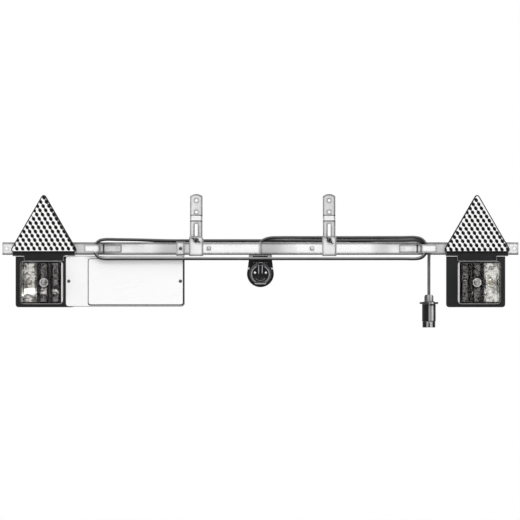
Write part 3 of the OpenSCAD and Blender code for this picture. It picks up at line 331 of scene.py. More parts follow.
def streaked_gloss(name, bands, reach=-16.4):
    """Black gloss with painted reflections: grey upright bands painted on the plug's front.

    The bands are (millimetres across the plug, grey), and lie in front of the reach.
    """
    material = plastic(name, GLOSS, 0.24, 1500.0, 0.00002, 10.0, 0.0009, 0.15)
    tree = material.node_tree
    shader = tree.nodes["Principled BSDF"]
    axes = add_node(tree, "SeparateXYZ", {"Vector": surface_place(tree)})
    across = share_between(tree, axes.outputs["X"], PLUG_X - RIB_SPAN / 2, PLUG_X + RIB_SPAN / 2)
    painted_streaks = ramp(tree, across, *[(0.5 + x / RIB_SPAN, shade) for x, shade in bands])
    front = calculated(tree, "LESS_THAN", axes.outputs["Y"], (PLUG_Y + reach) * MM)
    streak_breakup = noise(tree, surface_place(tree, (900.0, 900.0, 60.0)), 1.0, 3.0, 0.6)
    painted_streaks = mixed(tree, 0.5, painted_streaks, ramp(tree, streak_breakup, (0.35, 0.55), (0.60, 1.0)), "MULTIPLY")
    plain = shader.inputs["Base Color"].links[0].from_socket
    front_painted_streaks = mixed(tree, front, grey(0.0), painted_streaks)
    feed(tree, shader.inputs["Base Color"], mixed(tree, 1.0, plain, front_painted_streaks, "LIGHTEN"))
    return material


# The sheath goes darker between these heights
SHEATH_DARKENS = (-107.5, -82.5)


def sheath_rubber(name):
    """Cable sheath: satin grey-black, painted lighter on its top and darker below as light and
    shade, with smears; darker on its upper runs.
    """
    material, tree, shader = start_material(name)
    place = surface_place(tree)
    grain = noise(tree, place, 1200.0, 3.0, 0.6)
    smear = noise(tree, place, 25.0, 3.0, 0.6)
    # Painted light and shade: lighter where the sheath looks up, darker where it looks down
    painted_top_light = calculated(tree, "MULTIPLY_ADD", upward(tree), 0.5, 0.4)
    top_light_and_smear = calculated(tree, "MULTIPLY_ADD", smear, 0.2, painted_top_light)
    shade = ramp(tree, top_light_and_smear, (0.20, 0.008), (0.42, 0.02), (0.56, 0.19), (0.85, 0.30))
    axes = add_node(tree, "SeparateXYZ", {"Vector": place})
    high = share_between(tree, axes.outputs["Z"], *SHEATH_DARKENS)
    shade = mixed(tree, 1.0, shade, ramp(tree, high, (0.0, 1.0), (1.0, 0.45)), "MULTIPLY")
    feed(tree, shader.inputs["Base Color"], shade)
    feed(tree, shader.inputs["Roughness"], calculated(tree, "MULTIPLY_ADD", grain, 0.2, 0.35))
    shader.inputs["Specular IOR Level"].default_value = 0.25
    feed(tree, shader.inputs["Normal"], bumped(tree, grain, 0.00002))
    return material


def clear_plastic(name, tint, body, clearness, mottle, optics, roughness=0.08):
    """See-through plastic: glossy skin over a tinted body, with moulded optics inside."""
    material, tree, shader = start_material(name)
    place = surface_place(tree)
    flutes = add_node(tree, "TexWave", {
        "Vector": surface_place(tree, optics), "Scale": 1.0, "Distortion": 1.2, "Detail": 2.0,
    }, wave_type="BANDS", bands_direction="X")
    rungs = add_node(tree, "TexWave", {
        "Vector": surface_place(tree, optics), "Scale": 0.8, "Distortion": 0.6, "Detail": 1.0,
    }, wave_type="BANDS", bands_direction="Z")
    pillow = calculated(tree, "MULTIPLY", flutes.outputs["Fac"], rungs.outputs["Fac"])
    cloud = noise(tree, place, 60.0, 4.0, 0.65, 0.8)
    deep = tuple(c * 0.35 for c in body)
    clouded = ramp(tree, cloud, (0.35, 0.0), (0.62, 1.0))
    feed(tree, shader.inputs["Base Color"], mixed(tree, clouded, (*deep, 1.0), (*body, 1.0)))
    shader.inputs["Roughness"].default_value = roughness
    shader.inputs["Coat Weight"].default_value = 0.6
    shader.inputs["Coat Roughness"].default_value = 0.03
    feed(tree, shader.inputs["Normal"], bumped(tree, pillow, 0.0006))
    through = add_node(tree, "BsdfTransparent", {"Color": (*tint, 1.0)})
    share = calculated(tree, "MULTIPLY_ADD", pillow, 0.2, clearness - 0.1)
    share = calculated(tree, "ADD", share, mottle / 2)
    share = calculated(tree, "MULTIPLY_ADD", cloud, -mottle, share)
    joined = add_node(tree, "MixShader", {0: share, 1: shader.outputs[0], 2: through.outputs[0]})
    tree.links.new(joined.outputs[0], tree.nodes["Material Output"].inputs["Surface"])
    return material


def metallised(name, low, high, patch, roughness=0.09, ripple=0.00025):
    """Vacuum-metallised plastic: slightly rippled, with dark and bright patches of reflection."""
    material, tree, shader = start_material(name)
    place = surface_place(tree)
    waves = noise(tree, place, 85.0, 3.0, 0.5, 0.4)
    haze = noise(tree, place, patch, 4.0, 0.62, 0.7)
    feed(tree, shader.inputs["Base Color"], ramp(tree, haze, (0.40, low), (0.54, high)))
    shader.inputs["Metallic"].default_value = 1.0
    rough = calculated(tree, "MULTIPLY_ADD", haze, 0.12, roughness - 0.04)
    feed(tree, shader.inputs["Roughness"], rough)
    feed(tree, shader.inputs["Normal"], bumped(tree, waves, ripple))
    return material


def glossy_white(name, shade, edge_shade, edge_radius):
    """Smooth white panel plastic with faint handling marks and shaded rolled edges."""
    material, tree, shader = start_material(name)
    place = surface_place(tree)
    smear = noise(tree, surface_place(tree, (6.0, 6.0, 22.0)), 1.0, 4.0, 0.6, 0.5)
    fine = noise(tree, place, 900.0, 2.0)
    mask, soft_normal = edge_mask(tree, edge_radius)
    base = ramp(tree, smear, (0.3, shade * 0.985), (0.6, shade))
    base = mixed(tree, mask, base, grey(edge_shade))
    feed(tree, shader.inputs["Base Color"], base)
    feed(tree, shader.inputs["Roughness"], calculated(tree, "MULTIPLY_ADD", smear, 0.12, 0.22))
    shader.inputs["Coat Weight"].default_value = 0.3
    shader.inputs["Coat Roughness"].default_value = 0.08
    feed(tree, shader.inputs["Normal"], bumped(tree, fine, 0.00002, soft_normal))
    return material


NO_TINT = (0.99, 0.99, 0.99)
BULB_OPTICS = (40.0, 40.0, 40.0)
BAR_ENDS = ((0.43, 0.70), (0.56, 0.72), (0.585, 0.97))
# Steel with painted reflection patches; each half of the bar shifts its patches along and has its
# own darkest tone
STEEL_BAR_LEFT = galvanised("steel_bar_left", 0.97, 0.36, 7.0, 0.144, BAR_ENDS)
STEEL_BAR_RIGHT = galvanised("steel_bar_right", 0.97, 0.32, 7.0, -0.079, BAR_ENDS)
STEEL_STRIP = galvanised("steel_strip", 0.84, 0.60, 11.0)
STEEL_PLATE = galvanised("steel_plate", 0.93, 0.72, 9.0)
ZINC = zinc("zinc_bright", 0.75)
# Rivet heads: a wide ring of painted shade round each dome's edge
RIVET = zinc("rivet_head", 0.80, 0.3, 0.03, 0.0017)
ZINC_DARK = zinc("zinc_dark", 0.05, 0.3, 0.02)
# Wing nuts: near black, with edges painted near white as glints
NUT_CAST = zinc("nut_cast", 0.015, 0.3, 0.85, 0.0010)
SCREW_DARK = zinc("screw_dark", 0.10, 0.36, 0.02)
BRASS = plated("brass", (0.48, 0.33, 0.12), (0.74, 0.54, 0.24), (0.30, 0.20, 0.08), 0.26)
MATT = (0.012, 0.012, 0.013)
BLACK = plastic("black_plastic", MATT, 0.42, 2200.0, 0.00005, 2.2, 0.0009, 0.2)
# Triangle carriers: edges painted much lighter, as edge highlights
BLACK_EDGED = plastic("black_edged", MATT, 0.42, 2200.0, 0.00005, 12.0, 0.0018, 0.2)
BLACK_GLOSS = plastic("black_gloss", GLOSS, 0.24, 1500.0, 0.00002, 6.0, 0.0007, 0.15)
# The plug's pieces: reflections painted as grey bands on their fronts
PLUG_BLACK = streaked_gloss("plug_black", (
    (-17, 0.0), (-1.4, 0.0), (-0.9, 0.30), (3.6, 0.34), (4.0, 0.03), (5.2, 0.05), (5.6, 0.62),
    (9.6, 0.62), (10.2, 0.0)))
PLUG_GLAND = streaked_gloss("plug_gland", (
    (-17, 0.0), (-5.0, 0.0), (-4.2, 0.30), (-0.8, 0.62), (-0.4, 0.10), (0.6, 0.10), (1.0, 0.40),
    (6.6, 0.70), (8.4, 0.0)), -3.0)
PLUG_SLEEVE = streaked_gloss("plug_sleeve", (
    (-17, 0.0), (-7.2, 0.0), (-6.2, 0.30), (-1.4, 0.40), (-1.0, 0.03), (0.8, 0.03), (1.2, 0.50),
    (7.8, 0.50), (8.8, 0.0)), -3.0)
# Ridges on the socket lid, painted grey as glints, and dimmer
RIDGE_GLINT = plastic("ridge_painted_glint", (0.30, 0.30, 0.31), 0.32, 1500.0, 0.00002, 0.5)
RIDGE_GLINT_DIM = plastic("ridge_painted_glint_dim", (0.13, 0.13, 0.135), 0.32, 1500.0, 0.00002, 0.4)
RIM_PAINTED_GLOSS = lens_rim("rim_painted_gloss", 0.90, 0.60, 0.10)
RUBBER = plastic("rubber", (0.018, 0.018, 0.019), 0.62, 1600.0, 0.00006, 1.0, 0.0009, 0.15)
SHEATH = sheath_rubber("sheath")
WHITE = glossy_white("white_panel", 0.95, 0.5, 0.0008)
PANEL_PAINTED_SHADE = plastic("panel_painted_shade", (0.035, 0.035, 0.037), 0.45, 900.0, 0.00002, 0.1, 0.0009, 0.15)
# The outer reflectors: the left lamp's painted dimmer, the right lamp's painted brighter, a shaded
# and a lit copy
BRIGHT = {
    -1: metallised("reflector_left_painted_dim", 0.09, 0.86, 62.0, 0.09, 0.00012),
    1: metallised("reflector_right_painted_lit", 0.28, 0.99, 62.0, 0.09, 0.00012),
}
SMOKED = metallised("smoked_reflector", 0.006, 0.24, 110.0)
DISH = metallised("bright_dish", 0.86, 0.99, 60.0, 0.05)
RED = clear_plastic("red_lens", (0.98, 0.966, 0.966), (0.03, 0.02, 0.02), 0.97, 0.12,
                    (90.0, 90.0, 60.0))
paint_side_glint(RED, 0.022, 0.85)
AMBER = clear_plastic("amber_lens", (0.997, 0.993, 0.98), (0.46, 0.45, 0.43), 0.96, 0.20,
                      (70.0, 70.0, 45.0))
CLEAR = clear_plastic("clear_window", (0.95, 0.96, 0.96), (0.75, 0.76, 0.76), 0.7, 0.2,
                      (80.0, 80.0, 80.0))
GLASS = clear_plastic("bulb_glass", NO_TINT, (0.97, 0.97, 0.96), 0.90, 0.1, BULB_OPTICS, 0.04)
# The middle bulb's glass, nearly opaque white: a painted highlight standing for its glare
GLASS_PALE = clear_plastic("bulb_pale", NO_TINT, (0.98, 0.98, 0.98), 0.2, 0.1, BULB_OPTICS, 0.04)
BULB_AMBER = clear_plastic("bulb_amber", (0.985, 0.96, 0.90), (0.9, 0.84, 0.72), 0.90, 0.1,
                           BULB_OPTICS, 0.04)
# The reflector's cells are painted white, a painted reflection of the light it throws back
CELLS = glossy_white("reflector_cells", 0.93, 0.6, 0.0003)
DOTS = plastic("reflector_dots", (0.004, 0.004, 0.004), 0.3, 900.0, 0.00002, 0.1, 0.0004, 0.1)
FLANK = plastic("reflector_flank", (0.014, 0.005, 0.005), 0.2, 900.0, 0.00002, 0.1, 0.0004, 0.0)


# Meshes and pieces

def mesh_piece(name, bm, body, materials, node, sharp=35.0):
    """A piece from a bmesh in millimetres, which rides on a body and stands for a CAD node."""
    bmesh.ops.recalc_face_normals(bm, faces=bm.faces)
    bmesh.ops.scale(bm, vec=(MM, MM, MM), verts=bm.verts)
    mesh = bpy.data.meshes.new(name)
    bm.to_mesh(mesh)
    bm.free()
    for material in materials:
        mesh.materials.append(material)
    mesh.polygons.foreach_set("use_smooth", [True] * len(mesh.polygons))
    mesh.set_sharp_from_angle(angle=math.radians(sharp))
    piece = bpy.data.objects.new(name, mesh)
    bpy.context.scene.collection.objects.link(piece)
    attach(piece, body)
    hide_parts(node)


def rounded_face(bm, box, radii, y):
    """A flat face that looks to the front, on a box (low, high, bottom, top).

    The corners' radii run from the lower left round, and 0 leaves a corner sharp.
    """
    low, high, bottom, top = box
    square = ((low, bottom), (high, bottom), (high, top), (low, top))
    corners = [bm.verts.new((x, y, z)) for x, z in square]
    bm.faces.new(corners)
    for corner, radius in zip(corners, radii):
        if radius > 0:
            made = bmesh.ops.bevel(bm, geom=[corner], offset=radius, affect="VERTICES", segments=5,
                                   profile=0.5, material=-1)
    return made["verts"][0].link_faces[0]


def step(bm, face, inset, forward, material=0):
    """Draws a face in and moves it along its normal, with a band of faces left behind it."""
    made = bmesh.ops.inset_individual(bm, faces=[face], thickness=inset, depth=forward,
                                      use_even_offset=True)
    for band in made["faces"]:
        band.material_index = material


def round_over(bm, face, radius, segments=3, material=0):
    """A quarter-round edge in front of a face, in a few steps."""
    for k in range(segments):
        a = math.pi / 2 * k / segments
        b = math.pi / 2 * (k + 1) / segments
        inset = radius * (math.cos(a) - math.cos(b))
        step(bm, face, inset, radius * (math.sin(b) - math.sin(a)), material)


def close_back(bm):
    """Fills what is open, in the piece's first material."""
    rims = [edge for edge in bm.edges if edge.is_boundary]
    made = bmesh.ops.holes_fill(bm, edges=rims, sides=0)
    for face in made["faces"]:
        face.material_index = 0


def block(bm, box, radii, back, front, edge, material=0):
    """A block, open at its back, with rounded corners and front edge; gives its front face."""
    face = rounded_face(bm, box, radii, back)
    step(bm, face, 0.0, back - front - edge, material)
    round_over(bm, face, edge, material=material)
    face.material_index = material
    return face


def turned(bm, profile, origin, steps, material=0):
    """A shape turned round a line to the back, from (radius, distance towards the back)."""
    start = Vector(origin)
    backward = Vector((0.0, 1.0, 0.0))
    verts = [bm.verts.new(start + Vector((radius, along, 0.0))) for radius, along in profile]
    edges = [bm.edges.new(pair) for pair in zip(verts, verts[1:])]
    before = len(bm.faces)
    bmesh.ops.spin(bm, geom=verts + edges, cent=start, axis=backward, angle=2 * math.pi,
                   steps=steps, use_merge=True)
    bm.faces.ensure_lookup_table()
    made = bm.faces[before:]
    for face in made:
        face.material_index = material
    around = {vert for face in made for vert in face.verts}
    poles = [vert for vert in around if (vert.co - start).cross(backward).length < 0.01]
    if poles:
        bmesh.ops.remove_doubles(bm, verts=poles, dist=0.02)


def smooth_route(points, per_span):
    """Points along a centripetal Catmull-Rom curve through a route."""
    route = [Vector(p) for p in points]
    route = [2 * route[0] - route[1]] + route + [2 * route[-1] - route[-2]]
    made = []
    for a, b, c, d in zip(route, route[1:], route[2:], route[3:]):
        t0 = 0.0
        t1 = t0 + math.sqrt((b - a).length)
        t2 = t1 + math.sqrt((c - b).length)
        t3 = t2 + math.sqrt((d - c).length)
        for k in range(per_span):
            t = t1 + (t2 - t1) * k / per_span
            ab = a.lerp(b, (t - t0) / (t1 - t0))
            bc = b.lerp(c, (t - t1) / (t2 - t1))
            cd = c.lerp(d, (t - t2) / (t3 - t2))
            abc = ab.lerp(bc, (t - t0) / (t2 - t0))
            bcd = bc.lerp(cd, (t - t1) / (t3 - t1))
            made.append(abc.lerp(bcd, (t - t1) / (t2 - t1)))
    made.append(route[-2])
    return made


def cable(name, points, diameter, node, per_span=6):
    """A round cable on the bar, as a curve of one open spline; gives its length too."""
    data = bpy.data.curves.new(name, "CURVE")
    data.dimensions = "3D"
    data.bevel_depth = diameter / 2 * MM
    data.bevel_resolution = 4
    data.use_fill_caps = True
    spline = data.splines.new("POLY")
    path = smooth_route(points, per_span)
    spline.points.add(len(path) - 1)
    for target, point in zip(spline.points, path):
        target.co = (*(point * MM), 1.0)
    spline.use_smooth = True
    piece = bpy.data.objects.new(name, data)
    data.materials.append(SHEATH)
    bpy.context.scene.collection.objects.link(piece)
    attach(piece, "light_bar")
    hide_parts(node)
    length = sum((b - a).length for a, b in zip(path, path[1:])) * MM
    return piece, length


# Camera, light and floor

VIEW_WIDTH = 1.248
VIEW_CENTRE = (-0.0065, -0.045, -0.1295)
WORLD_LOW = 0.60
WORLD_HIGH = 0.88
FLOOR_RADIUS = 2.2
FLOOR_Z = -0.86


def make_camera():
    """The photograph's view: level, square to the front, from far enough to be almost flat."""
    data = bpy.data.cameras.new("camera")
    data.lens = 300.0
    data.sensor_width = 36.0
    data.clip_end = 60.0
    camera = bpy.data.objects.new("camera", data)
    x, y, z = VIEW_CENTRE
    camera.location = (x, y - VIEW_WIDTH * data.lens / data.sensor_width, z)
    camera.rotation_euler = (math.radians(90.0), 0.0, 0.0)
    bpy.context.scene.collection.objects.link(camera)
    bpy.context.scene.camera = camera


def make_world():
    """White where it is seen, straight or in gloss and glass, and plain light on the surfaces."""
    world = bpy.data.worlds.new("studio")
    bpy.context.scene.world = world
    world.use_nodes = True
    tree = world.node_tree
    background = tree.nodes["Background"]
    coords = add_node(tree, "TexCoord")
    axes = add_node(tree, "SeparateXYZ", {"Vector": coords.outputs["Generated"]})
    height = calculated(tree, "MULTIPLY_ADD", axes.outputs["Z"], 0.5, 0.5)
    light = ramp(tree, height, (0.1, WORLD_LOW), (0.9, WORLD_HIGH))
    path = add_node(tree, "LightPath")
    seen = calculated(tree, "MAXIMUM", path.outputs["Is Camera Ray"], path.outputs["Is Glossy Ray"])
    seen = calculated(tree, "MAXIMUM", seen, path.outputs["Is Transmission Ray"])
    feed(tree, background.inputs["Color"], mixed(tree, seen, light, grey(1.0)))
    background.inputs["Strength"].default_value = 1.0


def area_light(name, place, target, size, power):
    data = bpy.data.lights.new(name, "AREA")
    data.shape = "RECTANGLE"
    data.size, data.size_y = size
    data.energy = power
    lamp = bpy.data.objects.new(name, data)
    lamp.location = place
    aim = Vector(target) - Vector(place)
    lamp.rotation_euler = aim.to_track_quat("-Z", "Y").to_euler()
    bpy.context.scene.collection.objects.link(lamp)


def make_floor():
    """A pale floor well below the object, fading to white all round."""
    bm = bmesh.new()
    bmesh.ops.create_circle(bm, cap_ends=True, segments=64, radius=FLOOR_RADIUS)
    mesh = bpy.data.meshes.new("floor")
    bm.to_mesh(mesh)
    bm.free()
    floor = bpy.data.objects.new("floor", mesh)
    floor.location = (0.0, 0.0, FLOOR_Z)
    bpy.context.scene.collection.objects.link(floor)
    material, tree, shader = start_material("floor_pale")
    coords = add_node(tree, "TexCoord")
    distance = add_node(tree, "VectorMath", {0: coords.outputs["Object"]}, operation="LENGTH")
    grain = noise(tree, coords.outputs["Object"], 40.0, 3.0)
    feed(tree, shader.inputs["Base Color"], ramp(tree, grain, (0.3, 0.80), (0.7, 0.84)))
    shader.inputs["Roughness"].default_value = 0.7
    glow = add_node(tree, "Emission", {"Color": grey(1.0), "Strength": 1.0})
    outwards = calculated(tree, "DIVIDE", distance.outputs["Value"], FLOOR_RADIUS)
    fade = ramp(tree, outwards, (0.45, 0.0), (0.85, 1.0))
    joined = add_node(tree, "MixShader", {0: fade, 1: shader.outputs[0], 2: glow.outputs[0]})
    tree.links.new(joined.outputs[0], tree.nodes["Material Output"].inputs["Surface"])
    mesh.materials.append(material)


make_camera()
make_world()
area_light("key", (-0.9, -3.0, 2.2), (0.0, 0.0, -0.1), (1.6, 1.2), 28.0)
area_light("fill", (2.2, -2.8, 0.9), (0.0, 0.0, -0.15), (1.8, 1.4), 12.0)
area_light("back", (0.4, 2.6, 1.8), (0.0, 0.0, -0.1), (2.0, 1.2), 22.0)
make_floor()
bpy.context.scene.view_settings.view_transform = "Standard"


# The wound lead and the lamp cables

LEAD_ROUTE = (
    (-26.5, -17.8, -102), (-23.5, -17.8, -102), (-17, -16.5, -99.5), (-11, -13.5, -94),
    (-2, -13.4, -84), (13, -13.4, -77), (45, -12.8, -75.4), (100, -9, -75.4), (140, -5.6, -75.4),
    (185, -5.6, -75.4), (220, -11, -75.4), (260, -26, -75.4), (300, -44, -75.4),
    (335, -54, -75.4), (367, -56, -75.4), (379.8, -56, -78.8), (389.1, -56, -88.1),
    (392.5, -56, -100.9), (389.1, -56, -113.6), (379.8, -56, -123), (367, -56, -126.4),
    (180, -56, -126.4), (0, -56, -126.4), (-200, -56, -126.4), (-380.5, -56, -126.4),
    (-392, -56, -123.3), (-400.4, -56, -114.9), (-403.5, -56, -103.5), (-400.4, -56, -92),
    (-392, -56, -83.6), (-380.5, -56, -80.5), (-345, -54.5, -80.5), (-305, -44, -81),
    (-265, -26, -82), (-225, -11, -82.9), (-190, -5.6, -82.9), (-60, -5.6, -82.9),
    (60, -5.6, -82.9), (190, -5.6, -82.9), (225, -11, -82.9), (265, -26, -82.9),
    (305, -42, -82.9), (340, -48, -82.9), (370.8, -48.2, -82.9), (381.6, -48.2, -85.8),
    (389.6, -48.2, -93.8), (392.5, -48.2, -104.6), (389.6, -48.2, -115.5), (381.6, -48.2, -123.5),
    (370.8, -48.2, -126.4), (180, -48.2, -126.4), (0, -48.2, -126.4), (-200, -48.2, -126.4),
    (-380.5, -48.2, -126.4), (-392, -48.2, -123.3), (-400.4, -48.2, -114.9),
    (-403.5, -48.2, -103.5), (-400.4, -48.2, -92), (-392, -48.2, -83.6), (-380.5, -48.2, -80.5),
    (-345, -46.5, -80.5), (-305, -36, -81), (-265, -17.5, -82.9), (-245, -8, -85),
    (-220, -5.6, -89.5), (-190, -5.6, -91), (-60, -5.6, -91), (60, -5.6, -91), (190, -5.6, -91),
    (220, -5.6, -89.5), (245, -8, -85), (265, -16, -82.9), (305, -33.5, -82.9), (340, -40, -82.9),
    (372, -40.4, -82.9), (387, -40.4, -86.1), (395.8, -40.4, -94.9), (399, -40.4, -106.9),
    (399, -40.4, -130), (399, -40.4, -170), (399, -40.4, -213),
)
LEAD_D = 7.5
HARNESS_D = 5.0


def straight_spans(route):
    """The route with points added on its long straight runs, so that a smooth curve keeps them."""
    made = [Vector(route[0])]
    for a, b in zip(route, route[1:]):
        a, b = Vector(a), Vector(b)
        if (b - a).length > 60:
            made += [a.lerp(b, 0.15), a.lerp(b, 0.5), a.lerp(b, 0.85)]
        made.append(b)
    return made


def make_lead():
    """The lead from its grommet, wound on the hooks and down to the plug."""
    lead, length = cable("lead_cable", straight_spans(LEAD_ROUTE), LEAD_D, "lead", 5)


def make_harness(name, s, first):
    """Lamp cable: along the foot of the channel, out behind the bar and forward into the lamp."""
    down = LAMP_X
    route = [
        *first, (120, -26, -110), (250, -26, -110), (353, -26, -110), (down - 47, -26, -110),
        (down - 23, -19, -110.5), (down - 9, -13, -115), (down - 1, -11, -124), (down, -11, -140),
        (down, -12, -165), (down, -17, -185), (down, -25, -197), (down, -32, -202),
        (down, -37, -202),
    ]
    points = [Vector((BAR_SHIFT + s * x, y, z)) for x, y, z in route]
    cable(name + "_cable", points, HARNESS_D, name)


make_lead()
make_harness("harness_left", -1, ((87, -26, -105.5), (93, -26, -105.5), (106, -26, -108)))
make_harness("harness_right", 1, ((-33, -26, -105.5), (15, -26, -105.5), (55, -26, -108)))


# Lamps

def lamp_side(s):
    return "left" if s < 0 else "right"


def make_housing(s):
    """Black tray with rounded edges, and a rim with painted gloss that holds the lens round a
    hollow.
    """
    cx = BAR_SHIFT + s * LAMP_X
    lx = BAR_SHIFT + s * (LAMP_X + LENS_OUT)
    tray = (cx - LAMP_W / 2, cx + LAMP_W / 2, LAMP_Z - LAMP_H / 2, LAMP_Z + LAMP_H / 2)
    rim = (lx - RIM_HALF, lx + RIM_HALF, LENS_Z - RIM_HALF, LENS_Z + RIM_HALF)
    bm = bmesh.new()
    block(bm, tray, (LAMP_R, LAMP_R, 0.0, 0.0), LAMP_BACK, TRAY_FRONT, 1.2)
    face = block(bm, rim, (LENS_R + 1,) * 4, TRAY_FRONT + 0.5, RIM_FRONT, 1.0, 1)
    face.material_index = 0
    step(bm, face, RIM_HALF - 1 - CAVITY / 2, 0.0)
    step(bm, face, 0.0, RIM_FRONT - TRAY_FRONT + 0.3)
    close_back(bm)
    side = lamp_side(s)
    mesh_piece("housing_" + side, bm, "light_bar", (BLACK, RIM_PAINTED_GLOSS), "lamp_housing_" + side)


def lens_box(s, low, high):
    """Box (low, high, bottom, top) of a stretch across the lens, given outwards from its centre."""
    lx = BAR_SHIFT + s * (LAMP_X + LENS_OUT)
    a, b = sorted((lx + s * low, lx + s * high))
    return a, b, LENS_Z - LENS_SIZE / 2, LENS_Z + LENS_SIZE / 2


def make_lens_part(name, s, low, high, outer, material, node):
    """A stretch of the lens: a shell closed at the front, with the lens's own corners rounded."""
    at_right = (outer and s > 0) or (not outer and s < 0)
    radii = (0.0, LENS_R, LENS_R, 0.0) if at_right else (LENS_R, 0.0, 0.0, LENS_R)
    bm = bmesh.new()
    face = rounded_face(bm, lens_box(s, low, high), radii, LENS_BACK)
    step(bm, face, 0.0, LENS_BACK - LENS_FRONT - LENS_ROUND)
    round_over(bm, face, LENS_ROUND, 5)
    bmesh.ops.solidify(bm, geom=bm.faces[:], thickness=LENS_WALL)
    mesh_piece(name, bm, "light_bar", (material,), node)


FACET_ROWS = 15
FACET_WIDTH = 6.5
FACET_DENT = 0.45
TROUGH_DEPTH = 19.0
SIDE_RISE = 9.0
SIDE_WIDTH = 6.0
WALL_FRONT = -70.0


def make_bowls(s):
    """A faceted trough and a dish for each bulb, with black walls between the troughs."""
    lx = BAR_SHIFT + s * (LAMP_X + LENS_OUT)
    half = CAVITY / 2 - 0.6
    stretches = ((-half, MIDDLE_IN - 1), (MIDDLE_IN + 1, AMBER_IN - 1), (AMBER_IN + 1, half))
    bm = bmesh.new()
    tall = half - 1.0
    for chamber, (low, high) in enumerate(stretches):
        columns = max(4, round((high - low) / FACET_WIDTH))
        place = Matrix.Translation((lx + s * (low + high) / 2, REFLECTOR_BACK - 2.2, LENS_Z))
        size = Matrix.Diagonal((high - low, 2 * tall, 1.0, 1.0))
        made = bmesh.ops.create_grid(bm, x_segments=columns, y_segments=FACET_ROWS, size=0.5,
                                     matrix=place @ LIE_TO_FRONT @ size)
        for number, vert in enumerate(made["verts"]):
            u = s * (vert.co.x - lx)
            v = (vert.co.z - LENS_Z) / tall
            to_edge = min(u - low, high - u)
            side_rise = SIDE_RISE * max(0.0, 1 - to_edge / SIDE_WIDTH) ** 2
            dent = FACET_DENT * math.sin(91.2 * number + 37.7 * chamber + 5.1 * s)
            vert.co.y += dent - (TROUGH_DEPTH * abs(v) ** 2.2 + side_rise)
        if chamber < 2:
            for face in {face for vert in made["verts"] for face in vert.link_faces}:
                face.material_index = 2
    for bulb, reach, material in zip(BULB_X, (7.6, 11.0, 11.5), (2, 3, 0)):
        origin = (lx + s * bulb, REFLECTOR_BACK, LENS_Z)
        dish = [(reach, -6.6), (reach - 0.8, -6.2), (7.3, -6.0), (6.6, -6.3)]
        turned(bm, dish, origin, 14, material)
        sleeve = [(6.4, 0.0), (6.4, -5.4), (6.0, -6.0), (5.7, -5.4), (5.7, 0.0)]
        turned(bm, sleeve, origin, 24, 1)
    for wall in (MIDDLE_IN, AMBER_IN):
        x = lx + s * wall
        box = (x - 1.1, x + 1.1, LENS_Z - half + 0.6, LENS_Z + half - 0.6)
        block(bm, box, (0.4,) * 4, REFLECTOR_BACK, WALL_FRONT, 0.3, 1)
    side = lamp_side(s)
    mesh_piece("bowls_" + side, bm, "light_bar", (BRIGHT[s], BLACK_GLOSS, SMOKED, DISH),
               "lamp_reflector_" + side, 3.0)


def make_bulbs(s):
    """Three bulbs: metal cap with a collar, and a pear-shaped glass."""
    lx = BAR_SHIFT + s * (LAMP_X + LENS_OUT)
    bm = bmesh.new()
    for number, bulb in enumerate(BULB_X):
        origin = (lx + s * bulb, REFLECTOR_BACK, LENS_Z)
        cap = [(0.0, 0.0), (5.2, -0.3), (5.5, -1.2), (5.5, -8.0), (5.9, -8.3), (5.9, -9.0),
               (4.6, -9.3)]
        turned(bm, cap, origin, 24)
        glass = [(4.4, -8.8), (5.2, -10.0), (6.3, -12.0), (7.0, -14.5), (6.9, -16.6), (6.0, -18.9),
                 (4.4, -20.4), (2.2, -21.1), (0.0, -21.3)]
        turned(bm, glass, origin, 24, number + 1)
    side = lamp_side(s)
    mesh_piece("bulbs_" + side, bm, "light_bar", (ZINC, GLASS, GLASS_PALE, BULB_AMBER),
               "lamp_bulbs_" + side)


for s in (-1, 1):
    side = lamp_side(s)
    half_lens = LENS_SIZE / 2
    make_housing(s)
    make_lens_part("red_part_" + side, s, -half_lens, AMBER_IN, False, RED, "lens_red_" + side)
    make_lens_part("amber_part_" + side, s, AMBER_IN, half_lens, True, AMBER, "lens_amber_" + side)
    make_bowls(s)
    make_bulbs(s)


# Triangular reflectors

# Dots of each side: pitch, lean of the columns for each row, row pitch, first dot, first row
PATTERN = {-1: (13.75, -6.05, 10.2, -64.3, 8.4), 1: (13.6, -6.28, 9.86, -63.1, 6.4)}
DOT_ROWS = 13
DOT_LONG = 5.2
DOT_SHORT = 4.0
LINE_WIDTH = 1.8


def triangle_face(bm, cx, y):
    """The reflector's outline as one flat face with rounded corners."""
    reach = TRIANGLE_SIDE / math.sqrt(3)
    place = Matrix.Translation((cx, y, TRIANGLE_Z + reach / 2)) @ LIE_TO_FRONT
    made = bmesh.ops.create_circle(bm, cap_ends=True, segments=3, radius=reach, matrix=place)
    made = bmesh.ops.bevel(bm, geom=made["verts"], offset=TRIANGLE_R * 1.97, affect="VERTICES",
                           segments=8, profile=0.5, material=-1)
    return made["verts"][0].link_faces[0]


def inside_triangle(x, z, margin):
    """Whether a point, given from the middle of the base, lies inside the outline by a margin."""
    height = TRIANGLE_SIDE * math.sqrt(3) / 2
    to_side = (height - z) / 2 - abs(x) * math.sqrt(3) / 2
    return z > margin and to_side > margin


